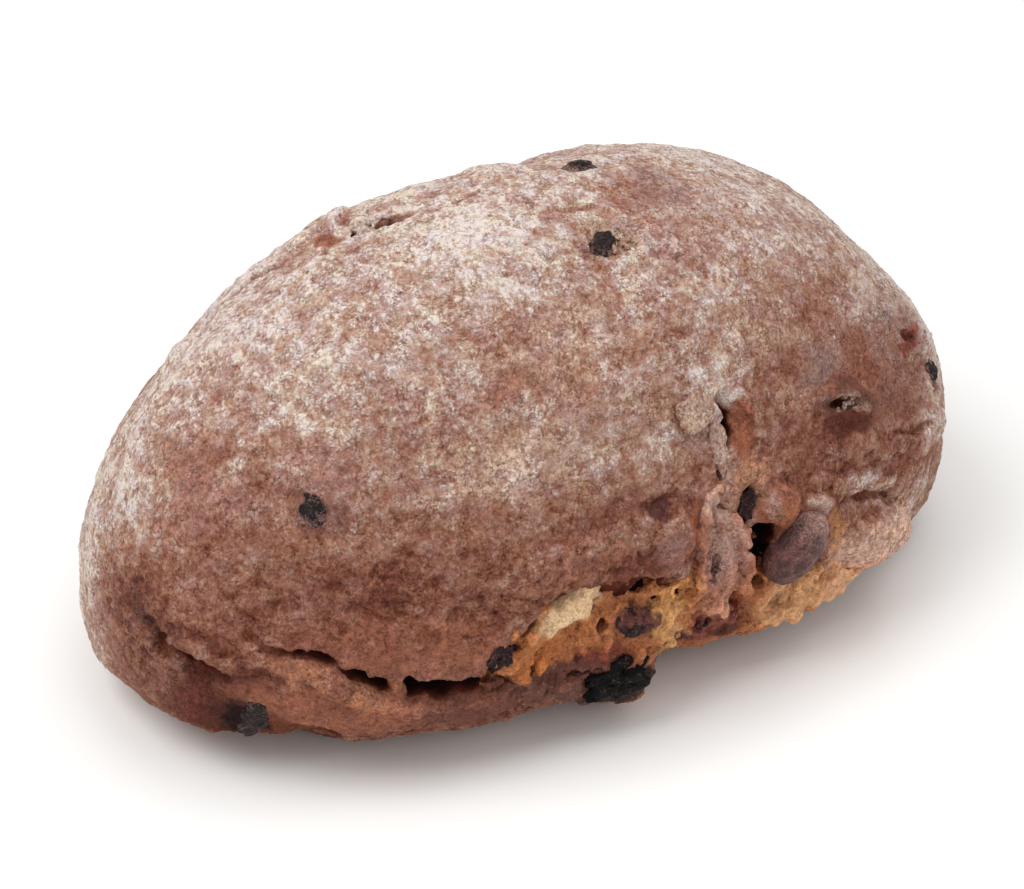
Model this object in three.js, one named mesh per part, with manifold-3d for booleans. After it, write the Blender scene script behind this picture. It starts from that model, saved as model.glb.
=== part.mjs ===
// An oval, hand-shaped rye loaf with raisins and a nut baked into its crust. One long side has burst
// above the foot, so the crumb shows there under a torn crust, and a thin crack runs on round the
// narrow end. Units are millimetres, +Z is up, and +X runs along the loaf to its broader end.
//
// A place on the crust is [turn, rise] in degrees. Turn goes round the loaf from +X, so the burst
// side is near -90. Rise climbs from the waist at 0 to the crown at 90, and sinks to -90 under it.

import * as THREE from "three";
import { mergeVertices } from "three/addons/utils/BufferGeometryUtils.js";
import Module from "manifold-3d";

const wasm = await Module();
wasm.setup();

// ---- driving dimensions ------------------------------------------------------------------------

const WIDTH = 126;
const HEIGHT = 106;
const WAIST = 22; // height of the widest section above the base
const NARROW_REACH = 102; // from the widest section to the narrow end
const BROAD_REACH = 118; // and to the broad end
const BROADENING = 0.12; // how much wider the broad end is than the middle
const PLAN_SQUARENESS = 2.37; // 2 is an ellipse, more is squarer
const DOME_SQUARENESS = 2.04;
const FOOT_SQUARENESS = 3.4;
const FLAT = 1.3; // slice of the base that rests flat on the oven floor

const CRUST_DETAIL = 13; // subdivision of the crust's sphere
const LUMP_DETAIL = 1; // and of everything small
const NUT_DETAIL = 2;
const SOCKET_GAP = 0.35; // between a fruit and the bread round it
const WELD = 1e-3; // vertices nearer than this are one, and no length is divided by less

// Broad swellings and hollows of the crust: centre, reach and height.
const SWELLS = {
  "crown knoll": { at: [77, 74], reach: 11, height: 2.2 },
  "seam knoll": { at: [118, 56], reach: 8, height: 1.6 },
  "narrow end knoll": { at: [148, 40], reach: 7, height: 1.3 },
  "broad end lobe": { at: [-38, 15], reach: 14, height: 1.8 },
  "broad end knuckle": { at: [-31, 25], reach: 8, height: 1.8 },
  "broad end shoulder": { at: [-8, 42], reach: 26, height: 1.6 },
  "back bulge": { at: [70, 22], reach: 34, height: 2.6 },
  "back dent": { at: [108, 34], reach: 22, height: -2.2 },
  "far end dent": { at: [22, 18], reach: 18, height: -1.8 },
  "narrow end heel": { at: [-164, 2], reach: 16, height: 1.2 },
  "flank over the burst": { at: [-112, 20], reach: 30, height: 1.2 },
  "crown, back": { at: [70, 64], reach: 26, height: -4 },
  "broad shoulder, back": { at: [-9, 38], reach: 24, height: -2 },
  "crown, broad": { at: [33, 54], reach: 30, height: 1 },
  "narrow end, upper": { at: [143, 36], reach: 22, height: -2 },
  "narrow end foot": { at: [-166, -25], reach: 22, height: -1.5 },
  "front foot, narrow": { at: [-140, -30], reach: 22, height: -4.5 },
  "front foot, middle": { at: [-122, -30], reach: 24, height: -3 },
  "front foot, burst": { at: [-106, -30], reach: 20, height: -2.5 },
  "foot notch": { at: [-136, -24], reach: 9, height: -3.5 },
  "foot hollow, near": { at: [-97, -34], reach: 14, height: -1.5 },
  "foot hollow, middle": { at: [-80, -30], reach: 24, height: -6.5 },
  "foot hollow, far": { at: [-62, -28], reach: 24, height: -4.5 },
  "broad end foot": { at: [-46, -10], reach: 22, height: -2.5 },
  "behind the burnt raisin": { at: [-85, -22], reach: 12, height: -3 },
};

// Long rolls of crust: route, reach to each side and height.
const ROLLS = {
  "foot roll under the crack": { route: [[-138, 2], [-125, -3], [-112, -4]], reach: 9, height: 1.8 },
  "under the lip": { route: [[-66, 9], [-58, 4], [-50, -3]], reach: 10, height: 1.6 },
  "flank fold": { route: [[-58, 22], [-49, 16], [-40, 12]], reach: 6, height: 1.3 },
  "bank of the seam": { route: [[137, 50], [130, 62], [118, 72]], reach: 6, height: 1.5 },
  "crust over the burst": { route: [[-108, 19], [-98, 22], [-86, 20]], reach: 8, height: 1.6 },
};

// Cracks and creases are cut: route, width and depth, and how far the cut leans up under the crust.
const CRACKS = {
  "foot crack, thin end": {
    route: [[-143.5, 12.5], [-138, 11.5], [-133.5, 10], [-129, 6.5]],
    width: 2.6,
    depth: 2.8,
  },
  "foot crack, wide end": {
    route: [[-132, 9], [-126, 5.5], [-119, 3.4], [-112, 3.4], [-107, 6]],
    width: 5.4,
    depth: 7,
    lean: 0.5,
  },
  "narrow end groove": { route: [[-171.5, 11.5], [-161.5, 8.5], [-155.5, 7.5]], width: 3.6, depth: 2.4, lean: 0.3 },
  "narrow end pit": { route: [[-156.5, 7], [-151.5, 6.5], [-146.5, 5.5]], width: 4.4, depth: 3.4, lean: 0.6 },
  "seam, low end": { route: [[143.5, 43.5], [141.5, 52.5], [143, 61]], width: 1.8, depth: 1.8 },
  "seam, hole": { route: [[144, 66], [142, 71], [141, 78]], width: 4.4, depth: 4 },
  "seam, high end": { route: [[140.5, 76], [141, 82], [59, 85.5]], width: 1.6, depth: 1.2 },
  "crown crease": { route: [[-65, 85], [-45.5, 81], [-36, 78]], width: 2, depth: 1.8 },
  "slope of the split": { route: [[-74.6, 38], [-73.6, 34], [-74.6, 30]], width: 7, depth: 2 },
  "split in the flank": {
    route: [[-75.6, 40], [-74.8, 36.5], [-75.4, 32.8], [-77.5, 29.5]],
    width: 4.8,
    depth: 7,
    lean: -0.3,
  },
  "split, lower end": { route: [[-79.2, 29.5], [-79, 27.5], [-79, 25.3]], width: 1.8, depth: 2.5 },
  "under the flake": { route: [[-82.5, 36.5], [-80.5, 35.5], [-78.2, 36]], width: 2.6, depth: 3.4 },
  "puncture": { route: [[-60, 29.3], [-57, 28.7], [-54, 27.6]], width: 2.4, depth: 2.8 },
  "hollow by the blister": { route: [[-75, 24.5], [-76, 21], [-77.2, 17]], width: 5, depth: 3 },
  "crease over the lip": {
    route: [[-68, 15.5], [-63, 12], [-56, 6], [-49, 1]],
    width: 2.6,
    depth: 2,
    lean: 0.3,
  },
  "fold, upper": { route: [[-53, 20], [-46.5, 16.5], [-41, 14.5]], width: 3, depth: 2 },
  "fold, lower": { route: [[-59, 17.5], [-54.5, 16.5], [-50, 14.5]], width: 2.6, depth: 1.7 },
  "broad end tear": { route: [[-38, 31], [-34.5, 27.5], [-33.5, 25.5]], width: 3, depth: 2.2 },
  "broad end notch": { route: [[-39.5, 16.5], [-37, 18], [-33.5, 17.5]], width: 2.4, depth: 2.4 },
  "torn ledge": { route: [[-105, 20.5], [-99.5, 23], [-94, 24]], width: 2.2, depth: 2 },
  "slot in the tongue": { route: [[-81, 14.5], [-81.3, 12], [-81.5, 9.5]], width: 2.4, depth: 3 },
  "back crack": { route: [[128, 8], [112, 4], [98, 5], [86, 3]], width: 4, depth: 4.6, lean: 0.5 },
  "back crease": { route: [[62, 40], [52, 46], [44, 55]], width: 2.2, depth: 1.8 },
};
const ROUTE_SIDES = 5; // of a crack or a strand
const RING_PITCH = 4.5; // from ring to ring along it
const RAGGEDNESS = 0.22; // share by which a crack's width comes and goes

// The burst: the upper and lower edges of the opening in the crust, in step with each other, and the
// depth of its floor. The floor is crumb, with crags rooted in it.
const BURST = {
  top: [
    [-112, 8], [-109.5, 13], [-107, 16], [-105, 18], [-101, 17], [-97.5, 14.5], [-94, 14], [-90, 14],
    [-85, 12], [-83, 17], [-81.5, 23], [-79.5, 24], [-77.5, 20], [-74, 16], [-70, 16], [-66.5, 15],
    [-63, 6],
  ],
  foot: [
    [-112, 2], [-109.5, -5], [-107, -14], [-105, -19], [-101, -20], [-97.5, -24], [-94, -28], [-90, -31],
    [-86, -34], [-83, -35], [-81.5, -36], [-79.5, -36], [-77.5, -37], [-74, -38], [-70, -39], [-63, -39],
    [-55, -36],
  ],
  depth: 5.4,
};
const BURST_SIDES = 12;
const BURST_RINGS = 26;
const SQUARED_WALLS = 0.6; // 1 gives the opening a rounded floor, less makes its walls steeper
const BLUNT_ENDS = 0.35; // and 1 would give it pointed ends
const CRAGS = {
  count: 46,
  across: [0.1, 0.9], // share of the way from the lower edge to the upper
  halfWidths: [2.2, 4.6],
  halfHeights: [1.8, 3.6],
  halfDepths: [2.2, 3.4],
  sink: 4.2,
  seed: 7,
};

// Strands of dough that bridge the burst: route, width, height and sink below the crust.
const STRANDS = {
  "tongue by the mouth": {
    route: [[-79.5, 25], [-80, 18.5], [-80, 12], [-79, 2]],
    width: 12,
    depth: 3.6,
    sink: 1.4,
  },
  "pulled crumb": { route: [[-85.5, 12], [-87, 6], [-89, -1]], width: 5, depth: 3, sink: 3 },
  "dark strand": { route: [[-95, 9.5], [-91.5, 6], [-88, 3]], width: 5, depth: 3, sink: 3.4 },
  "ribbon by the split": {
    route: [[-77.4, 38], [-78, 33.5], [-78.4, 30], [-78.6, 26.5]],
    width: 3.2,
    depth: 1.3,
    sink: -0.2,
  },
};

// Deep holes inside the burst: place and half sizes across, along and in.
const HOLLOWS = {
  "mouth beside the nut": { at: [-75.7, 14.2], size: [4.4, 3.4, 9] },
  "throat under the mouth": { at: [-76, 8.5], size: [2.2, 5, 8] },
  "pore by the cream patch": { at: [-96.5, 7.5], size: [1.8, 1.9, 7] },
  "pore under the crust": { at: [-90.5, 11.5], size: [2.6, 1.2, 7] },
};

// Lobes of crust and dough that stand proud: place, half sizes along turn, along rise and out.
const LOBES = {
  "cracked blister": { at: [-72.3, 18], size: [6, 5.4, 5], sink: 1.6, detail: 2 },
  "floury flake": { at: [-80, 38], size: [3.8, 3.3, 1.9] },
  "shingle of crust": { at: [-86, 18.3], size: [4.9, 7, 2.4], sink: 0.7 },
  "cream patch": { at: [-103, 11], size: [8.8, 4.6, 4.5], sink: 4.2, spin: 22, detail: 2 },
  "lip at the broad end": { at: [-56.5, 1], size: [15.5, 7.8, 5.6], sink: 3, spin: -24, detail: 2 },
  "rim of the puncture, near": { at: [-58.6, 30.2], size: [3, 1, 1] },
  "rim of the puncture, far": { at: [-54, 28.2], size: [2.8, 1.2, 1.1] },
  "knob on the seam": { at: [129, 64], size: [4.2, 2.4, 2.8], sink: 0.9 },
};

// Fruit in the crust, by the name of its node: place, half sizes along turn, along rise and out,
// sink below the crust, and spin about the outward direction.
const FRUIT = {
  nut: { at: [-71, 10], size: [9.2, 6.1, 5.7], sink: -0.6, spin: 42 },
  raisin_foot: { at: [-95, -13], size: [8.4, 4.6, 4.2], sink: 0.2, spin: 14 },
  raisin_corner: { at: [-143.5, -7], size: [3.7, 9.4, 3.3], sink: 1.2, spin: -14 },
  raisin_crack: { at: [-110.3, 6.8], size: [3.4, 4.1, 3.4], sink: 2.6, spin: -30 },
  raisin_flank: { at: [-139.5, 33.5], size: [3.3, 4.4, 3], sink: 2.1, spin: 20 },
  raisin_crown: { at: [-70, 72], size: [4.6, 3.2, 3], sink: 1.8, spin: 20 },
  raisin_crown_far: { at: [31.5, 76.5], size: [4.4, 3, 2.8], sink: 1.9, spin: 0 },
  raisin_burst: { at: [-91.5, 6.5], size: [5.4, 3, 3], sink: 3.6, spin: -28 },
  raisin_burst_far: { at: [-81.5, -9.5], size: [4.8, 2.6, 3], sink: 3.8, spin: 22 },
  raisin_blister: { at: [-76.2, 20], size: [2.8, 5.4, 3], sink: 3.2, spin: -16 },
  raisin_broad_end: { at: [-34.5, 20], size: [3, 3.2, 2.8], sink: 0.9, spin: 0 },
  raisin_back: { at: [96, 28], size: [4.4, 3.6, 3.2], sink: 1.5, spin: 25 },
  raisin_back_low: { at: [58, 12], size: [3.6, 4.8, 3.4], sink: 1.6, spin: -30 },
  raisin_far_end: { at: [12, 30], size: [4, 3.4, 3], sink: 1.8, spin: 10 },
};

// ---- the form of the crust ---------------------------------------------------------------------

const superRadius = (a, b, squareness) =>
  (Math.abs(a) ** squareness + Math.abs(b) ** squareness) ** (-1 / squareness);

function direction([turn, rise]) {
  const [round, climb] = [turn, rise].map(THREE.MathUtils.degToRad);
  const level = Math.cos(climb);
  return new THREE.Vector3(Math.cos(round) * level, Math.sin(round) * level, Math.sin(climb));
}

// The even form, before any swelling: a dome over a squarer foot, broader towards +X.
function formPoint(dir) {
  const level = Math.hypot(dir.x, dir.y);
  const c = level > 1e-9 ? dir.x / level : 1;
  const s = level > 1e-9 ? dir.y / level : 0;
  const up = dir.z > 0;
  const ring = superRadius(level, dir.z, up ? DOME_SQUARENESS : FOOT_SQUARENESS);
  const out = superRadius(c, s, PLAN_SQUARENESS) * ring * level;
  const x = (c > 0 ? BROAD_REACH : NARROW_REACH) * c * out;
  const width = WIDTH * (1 + (BROADENING * 2 * x) / (BROAD_REACH + NARROW_REACH));
  return new THREE.Vector3(x, (width / 2) * s * out, WAIST + (up ? HEIGHT - WAIST : WAIST) * ring * dir.z);
}

// The outward normal of a surface given as a function of direction.
function normalOf(surface, dir) {
  const STEP = 0.01;
  const pole = Math.abs(dir.z) > 0.9 ? new THREE.Vector3(1, 0, 0) : new THREE.Vector3(0, 0, 1);
  const east = pole.clone().cross(dir).normalize().multiplyScalar(STEP);
  const north = dir.clone().cross(east);
  const across = (way) =>
    surface(dir.clone().add(way).normalize()).sub(surface(dir.clone().sub(way).normalize()));
  return across(east).cross(across(north)).normalize();
}

// A smooth hill of height 1 at its middle that ends at distance 1.
const hill = (share) => (share < 1 ? (1 - share * share) ** 2 : 0);

// A smooth way through the places of a route, and points along it on the even form.
const wayThrough = (route) => new THREE.SplineCurve(route.map((place) => new THREE.Vector2(...place)));
const ROUTE_STEPS = 24;
const routePoints = (route) =>
  wayThrough(route)
    .getPoints(ROUTE_STEPS)
    .map((place) => formPoint(direction(place.toArray())));

const swells = Object.values(SWELLS).map((swell) => ({ ...swell, centre: formPoint(direction(swell.at)) }));
const rolls = Object.values(ROLLS).map((roll) => ({ ...roll, line: routePoints(roll.route) }));

// The unevenness of hand-shaped dough, as long low waves.
const uneven = (p) =>
  0.8 * Math.sin(p.x / 19 + 1.3) * Math.sin(p.y / 15 + 0.4) * Math.cos(p.z / 17) +
  0.5 * Math.sin(p.x / 8.5 + p.z / 11) * Math.sin(p.y / 9.5 + 2.1);

function reliefAt(p) {
  let height = uneven(p);
  swells.forEach((swell) => {
    height += swell.height * hill(p.distanceTo(swell.centre) / swell.reach);
  });
  rolls.forEach((roll) => {
    const nearest = Math.min(...roll.line.map((q) => p.distanceTo(q)));
    height += roll.height * hill(nearest / roll.reach);
  });
  return height;
}

// The relief is raised along the ray from the middle of the loaf, so that the crust can't fold over.
function crustPoint(dir) {
  const p = formPoint(dir);
  const ray = p.clone().setZ(p.z - WAIST).normalize();
  return p.addScaledVector(ray, reliefAt(p) / ray.dot(normalOf(formPoint, dir)));
}

// A frame on the crust: its point, outward direction, and the ways along turn and along rise.
function crustFrame(place) {
  const dir = direction(place);
  const out = normalOf(crustPoint, dir);
  const along = new THREE.Vector3(0, 0, 1).cross(out).normalize();
  return { point: crustPoint(dir), out, along, up: out.clone().cross(along) };
}

// ---- solids ------------------------------------------------------------------------------------

const vertex = (geometry, i) => new THREE.Vector3().fromBufferAttribute(geometry.attributes.position, i);

// A copy of a closed geometry, its shared vertices merged, with each vertex moved by a function.
function moved(geometry, move) {
  const bare = geometry.clone();
  bare.deleteAttribute("normal");
  bare.deleteAttribute("uv");
  const made = mergeVertices(bare, WELD);
  for (let i = 0; i < made.attributes.position.count; i++) {
    const to = move(vertex(made, i));
    made.attributes.position.setXYZ(i, to.x, to.y, to.z);
  }
  return made;
}

const solidOf = (geometry) =>
  new wasm.Manifold(
    new wasm.Mesh({
      numProp: 3,
      vertProperties: geometry.attributes.position.array,
      triVerts: new Uint32Array(geometry.index.array),
    }),
  );

function geometryOf(solid) {
  const mesh = solid.getMesh();
  const made = new THREE.BufferGeometry();
  made.setAttribute("position", new THREE.BufferAttribute(mesh.vertProperties, 3));
  made.setIndex(new THREE.BufferAttribute(mesh.triVerts, 1));
  made.computeVertexNormals();
  return made;
}

// A spindle laid along a route on the crust: a sphere whose axis is bent to the route. It is width
// across, reaches depth in and out of the crust, and leans up the crust as it goes in.
function spindle({ route, width, depth, lean = 0, sink = 0 }) {
  const way = wayThrough(route);
  const frameAt = (share) => crustFrame(way.getPoint(THREE.MathUtils.clamp(share, 0, 1)).toArray());
  const length = new THREE.CatmullRomCurve3(routePoints(route)).getLength();
  const rings = Math.round(3 + length / RING_PITCH);
  const STEP = 0.01;
  return solidOf(
    moved(new THREE.SphereGeometry(1, ROUTE_SIDES, rings), (v) => {
      const share = Math.acos(THREE.MathUtils.clamp(v.y, -1, 1)) / Math.PI;
      const { point, out } = frameAt(share);
      const ahead = frameAt(share + STEP).point.sub(frameAt(share - STEP).point);
      const side = out.clone().cross(ahead).normalize();
      const ragged = 1 + RAGGEDNESS * Math.sin(share * 31 + v.x * 2);
      return point
        .addScaledVector(side, v.x * (width / 2) * ragged - Math.min(v.z, 0) * depth * lean)
        .addScaledVector(out, v.z * depth - sink);
    }),
  );
}

// The body that opens the burst: a sphere whose axis runs along between the two edges.
function opening({ top, foot, depth }) {
  const [high, low] = [top, foot].map(wayThrough);
  return solidOf(
    moved(new THREE.SphereGeometry(1, BURST_SIDES, BURST_RINGS), (v) => {
      const share = Math.acos(THREE.MathUtils.clamp(v.y, -1, 1)) / Math.PI;
      const fill = Math.max(Math.hypot(v.x, v.z), WELD) ** (BLUNT_ENDS - 1);
      const place = low.getPoint(share).lerp(high.getPoint(share), (v.x * fill + 1) / 2);
      const { point, out } = crustFrame(place.toArray());
      return point.addScaledVector(out, Math.sign(v.z) * Math.abs(v.z * fill) ** SQUARED_WALLS * depth);
    }),
  );
}

// A rounded lump on the crust with three half sizes, turned about the outward direction.
function lump({ at, size, sink = 0, spin = 0 }, detail, wrinkle = () => 1) {
  const { point, out, along, up } = crustFrame(at);
  const turned = new THREE.Matrix4()
    .makeBasis(along, up, out)
    .multiply(new THREE.Matrix4().makeRotationZ(THREE.MathUtils.degToRad(spin)));
  return moved(new THREE.IcosahedronGeometry(1, detail), (v) => {
    const grown = wrinkle(v);
    return v
      .clone()
      .multiply(new THREE.Vector3(...size))
      .multiplyScalar(grown)
      .applyMatrix4(turned)
      .add(point)
      .addScaledVector(out, -sink);
  });
}

// A dried raisin's folds run along it, and a nut is smooth and slightly pointed.
const raisinWrinkle = (v) =>
  1 + 0.09 * Math.sin(5 * Math.atan2(v.z, v.y) + 3 * v.x) + 0.05 * Math.sin(9 * v.x + 4 * v.y);
const nutPoint = (v) => 1 + 0.1 * Math.max(0, v.x) ** 3;

// ---- the crumb in the burst --------------------------------------------------------------------

// Mulberry32: the same draws each run.
function seeded(seed) {
  let state = seed;
  return () => {
    state = (state + 0x6d2b79f5) | 0;
    let t = Math.imul(state ^ (state >>> 15), 1 | state);
    t = (t + Math.imul(t ^ (t >>> 7), 61 | t)) ^ t;
    return ((t ^ (t >>> 14)) >>> 0) / 4294967296;
  };
}

// Crags lie all along the recess, each sunk so that it roots in the floor of it, and none where it
// would wall in a fruit.
function crags() {
  const draw = seeded(CRAGS.seed);
  const between = ([low, high]) => low + (high - low) * draw();
  const fruits = Object.values(FRUIT).map(({ at, size }) => ({ middle: crustPoint(direction(at)), size }));
  const isClear = ({ at, size }) => {
    const middle = crustPoint(direction(at));
    return fruits.every(
      (item) => middle.distanceTo(item.middle) > Math.max(...size) + Math.max(...item.size),
    );
  };
  const [high, low] = [BURST.top, BURST.foot].map(wayThrough);
  return Array.from({ length: CRAGS.count }, (_, i) => {
    const share = (i + draw()) / CRAGS.count;
    return {
      at: low.getPoint(share).lerp(high.getPoint(share), between(CRAGS.across)).toArray(),
      size: [between(CRAGS.halfWidths), between(CRAGS.halfHeights), between(CRAGS.halfDepths)],
      spin: between([-60, 60]),
      phase: between([0, 6]),
      sink: CRAGS.sink,
    };
  })
    .filter(isClear)
    .map((crag) => {
      const craggy = (v) => 1 + 0.2 * Math.sin(4 * v.x + crag.phase) * Math.sin(5 * v.y + 2 * crag.phase);
      return solidOf(lump(crag, LUMP_DETAIL, craggy));
    });
}

// ---- assembly ----------------------------------------------------------------------------------

const fruit = Object.entries(FRUIT).map(([name, item]) => {
  const isNut = name === "nut";
  const detail = isNut ? NUT_DETAIL : LUMP_DETAIL;
  const shape = isNut ? nutPoint : raisinWrinkle;
  const grown = { ...item, size: item.size.map((half) => half + SOCKET_GAP) };
  const [solid, socket] = [item, grown].map((form) => solidOf(lump(form, detail, shape)));
  return { name, isNut, solid, socket };
});

const ball = new THREE.IcosahedronGeometry(1, CRUST_DETAIL);
const crust = solidOf(moved(ball, (v) => crustPoint(v.normalize())));
const span = 2 * (NARROW_REACH + BROAD_REACH);
const slab = new THREE.BoxGeometry(span, span, span).translate(0, 0, FLAT - span / 2);

const joined = [
  ...crags(),
  ...Object.values(STRANDS).map((strand) => spindle(strand)),
  ...Object.values(LOBES).map((lobe) => solidOf(lump(lobe, lobe.detail ?? LUMP_DETAIL))),
];
const cut = [
  ...Object.values(CRACKS).map((crack) => spindle(crack)),
  ...Object.values(HOLLOWS).map((hollow) => solidOf(lump(hollow, LUMP_DETAIL))),
  ...fruit.map(({ socket }) => socket),
  solidOf(moved(slab, (v) => v)),
];
const opened = crust.subtract(opening(BURST));
const filled = joined.reduce((whole, piece) => whole.add(piece), opened);
const loaf = cut.reduce((whole, piece) => whole.subtract(piece), filled);

const crustMaterial = new THREE.MeshStandardMaterial({ color: 0x8e6353, roughness: 0.92, metalness: 0 });
const raisinMaterial = new THREE.MeshStandardMaterial({ color: 0x2a1d22, roughness: 0.7, metalness: 0 });
const nutMaterial = new THREE.MeshStandardMaterial({ color: 0x6b443a, roughness: 0.6, metalness: 0 });

const bread = new THREE.Group();
function addPiece(name, geometry, material) {
  const mesh = new THREE.Mesh(geometry, material);
  mesh.name = name;
  bread.add(mesh);
}
addPiece("loaf", geometryOf(loaf), crustMaterial);
fruit.forEach(({ name, isNut, solid }) => {
  addPiece(name, geometryOf(solid), isNut ? nutMaterial : raisinMaterial);
});

// The cuts leave some vertices all but touching. Welding them can part off a scrap or seal in a
// speck of air, so only the largest body is kept, and the weld is repeated until nothing changes.
function wholeBody(geometry) {
  const bodies = solidOf(moved(geometry, (v) => v)).decompose();
  const largest = geometryOf(bodies.sort((a, b) => b.volume() - a.volume())[0]);
  return bodies.length === 1 ? largest : wholeBody(largest);
}

// The origin is the middle of the whole box in plan, at the height of the flat base.
const box = new THREE.Box3().setFromObject(bread);
const middle = box.getCenter(new THREE.Vector3());
bread.children.forEach((mesh) => {
  mesh.geometry.translate(-middle.x, -middle.y, -box.min.z);
  mesh.geometry = wholeBody(mesh.geometry);
});

export default bread;
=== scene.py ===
import random

import bmesh
import bpy
import numpy as np
from mathutils import Matrix, Vector, noise


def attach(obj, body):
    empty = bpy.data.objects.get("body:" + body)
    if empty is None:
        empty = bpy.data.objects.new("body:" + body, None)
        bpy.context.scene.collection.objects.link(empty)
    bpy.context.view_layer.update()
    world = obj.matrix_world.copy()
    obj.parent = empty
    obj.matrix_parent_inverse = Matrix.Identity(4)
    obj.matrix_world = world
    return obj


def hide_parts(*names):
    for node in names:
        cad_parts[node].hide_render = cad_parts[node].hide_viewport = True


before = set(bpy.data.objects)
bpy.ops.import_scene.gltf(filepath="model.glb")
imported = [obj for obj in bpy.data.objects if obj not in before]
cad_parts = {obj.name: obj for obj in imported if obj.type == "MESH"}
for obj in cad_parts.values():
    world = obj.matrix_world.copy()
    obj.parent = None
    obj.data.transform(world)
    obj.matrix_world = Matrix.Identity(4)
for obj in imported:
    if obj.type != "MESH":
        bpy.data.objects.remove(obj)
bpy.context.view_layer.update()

# A floured rye loaf with raisins and a nut baked into its crust, burst along one flank.
#
# Shapes are worked out in millimetres, in the form's own axes, and each finished mesh is then moved
# to the part's origin and turned to metres. A place on the crust is [turn, rise] in degrees: turn
# goes round the loaf from +X, and rise climbs from the waist at 0 to the crown at 90.

MM = 0.001
FORM_TO_PART = np.array([-7.9719, 2.4833, -1.3])  # from the form's axes to the part's origin

# ---- the form of the crust, as in the solids ----------------------------------------------------

WIDTH = 126.0
HEIGHT = 106.0
WAIST = 22.0  # height of the widest section above the base
NARROW_REACH = 102.0  # from the widest section to the narrow end
BROAD_REACH = 118.0  # and to the broad end
BROADENING = 0.12  # how much wider the broad end is than the middle
PLAN_SQUARENESS = 2.37  # 2 is an ellipse, more is squarer
DOME_SQUARENESS = 2.04
FOOT_SQUARENESS = 3.4
FLAT = 1.3  # slice of the base that rests flat on the oven floor
AXIS = np.array([0.0, 0.0, WAIST])  # the relief is raised along rays from here

# Broad swellings and hollows of the crust: centre, reach and height.
SWELLS = {
    "crown knoll": ([77, 74], 11, 2.2),
    "seam knoll": ([118, 56], 8, 1.6),
    "narrow end knoll": ([148, 40], 7, 1.3),
    "broad end lobe": ([-38, 15], 14, 1.8),
    "broad end knuckle": ([-31, 25], 8, 1.8),
    "broad end shoulder": ([-8, 42], 26, 1.6),
    "back bulge": ([70, 22], 34, 2.6),
    "back dent": ([108, 34], 22, -2.2),
    "far end dent": ([22, 18], 18, -1.8),
    "narrow end heel": ([-164, 2], 16, 1.2),
    "flank over the burst": ([-112, 20], 30, 1.2),
    "crown, back": ([70, 64], 26, -4),
    "broad shoulder, back": ([-9, 38], 24, -2),
    "crown, broad": ([33, 54], 30, 1),
    "narrow end, upper": ([143, 36], 22, -2),
    "narrow end foot": ([-166, -25], 22, -1.5),
    "front foot, narrow": ([-140, -30], 22, -4.5),
    "front foot, middle": ([-122, -30], 24, -3),
    "front foot, burst": ([-106, -30], 20, -2.5),
    "foot notch": ([-136, -24], 9, -3.5),
    "foot hollow, near": ([-97, -34], 14, -1.5),
    "foot hollow, middle": ([-80, -30], 24, -6.5),
    "foot hollow, far": ([-62, -28], 24, -4.5),
    "broad end foot": ([-46, -10], 22, -2.5),
    "behind the burnt raisin": ([-85, -22], 12, -3),
}

# Long rolls of crust: route, reach to each side and height.
ROLLS = {
    "foot roll under the crack": ([[-138, 2], [-125, -3], [-112, -4]], 9, 1.8),
    "under the lip": ([[-66, 9], [-58, 4], [-50, -3]], 10, 1.6),
    "flank fold": ([[-58, 22], [-49, 16], [-40, 12]], 6, 1.3),
    "bank of the seam": ([[137, 50], [130, 62], [118, 72]], 6, 1.5),
    "crust over the burst": ([[-108, 19], [-98, 22], [-86, 20]], 8, 1.6),
}

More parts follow.
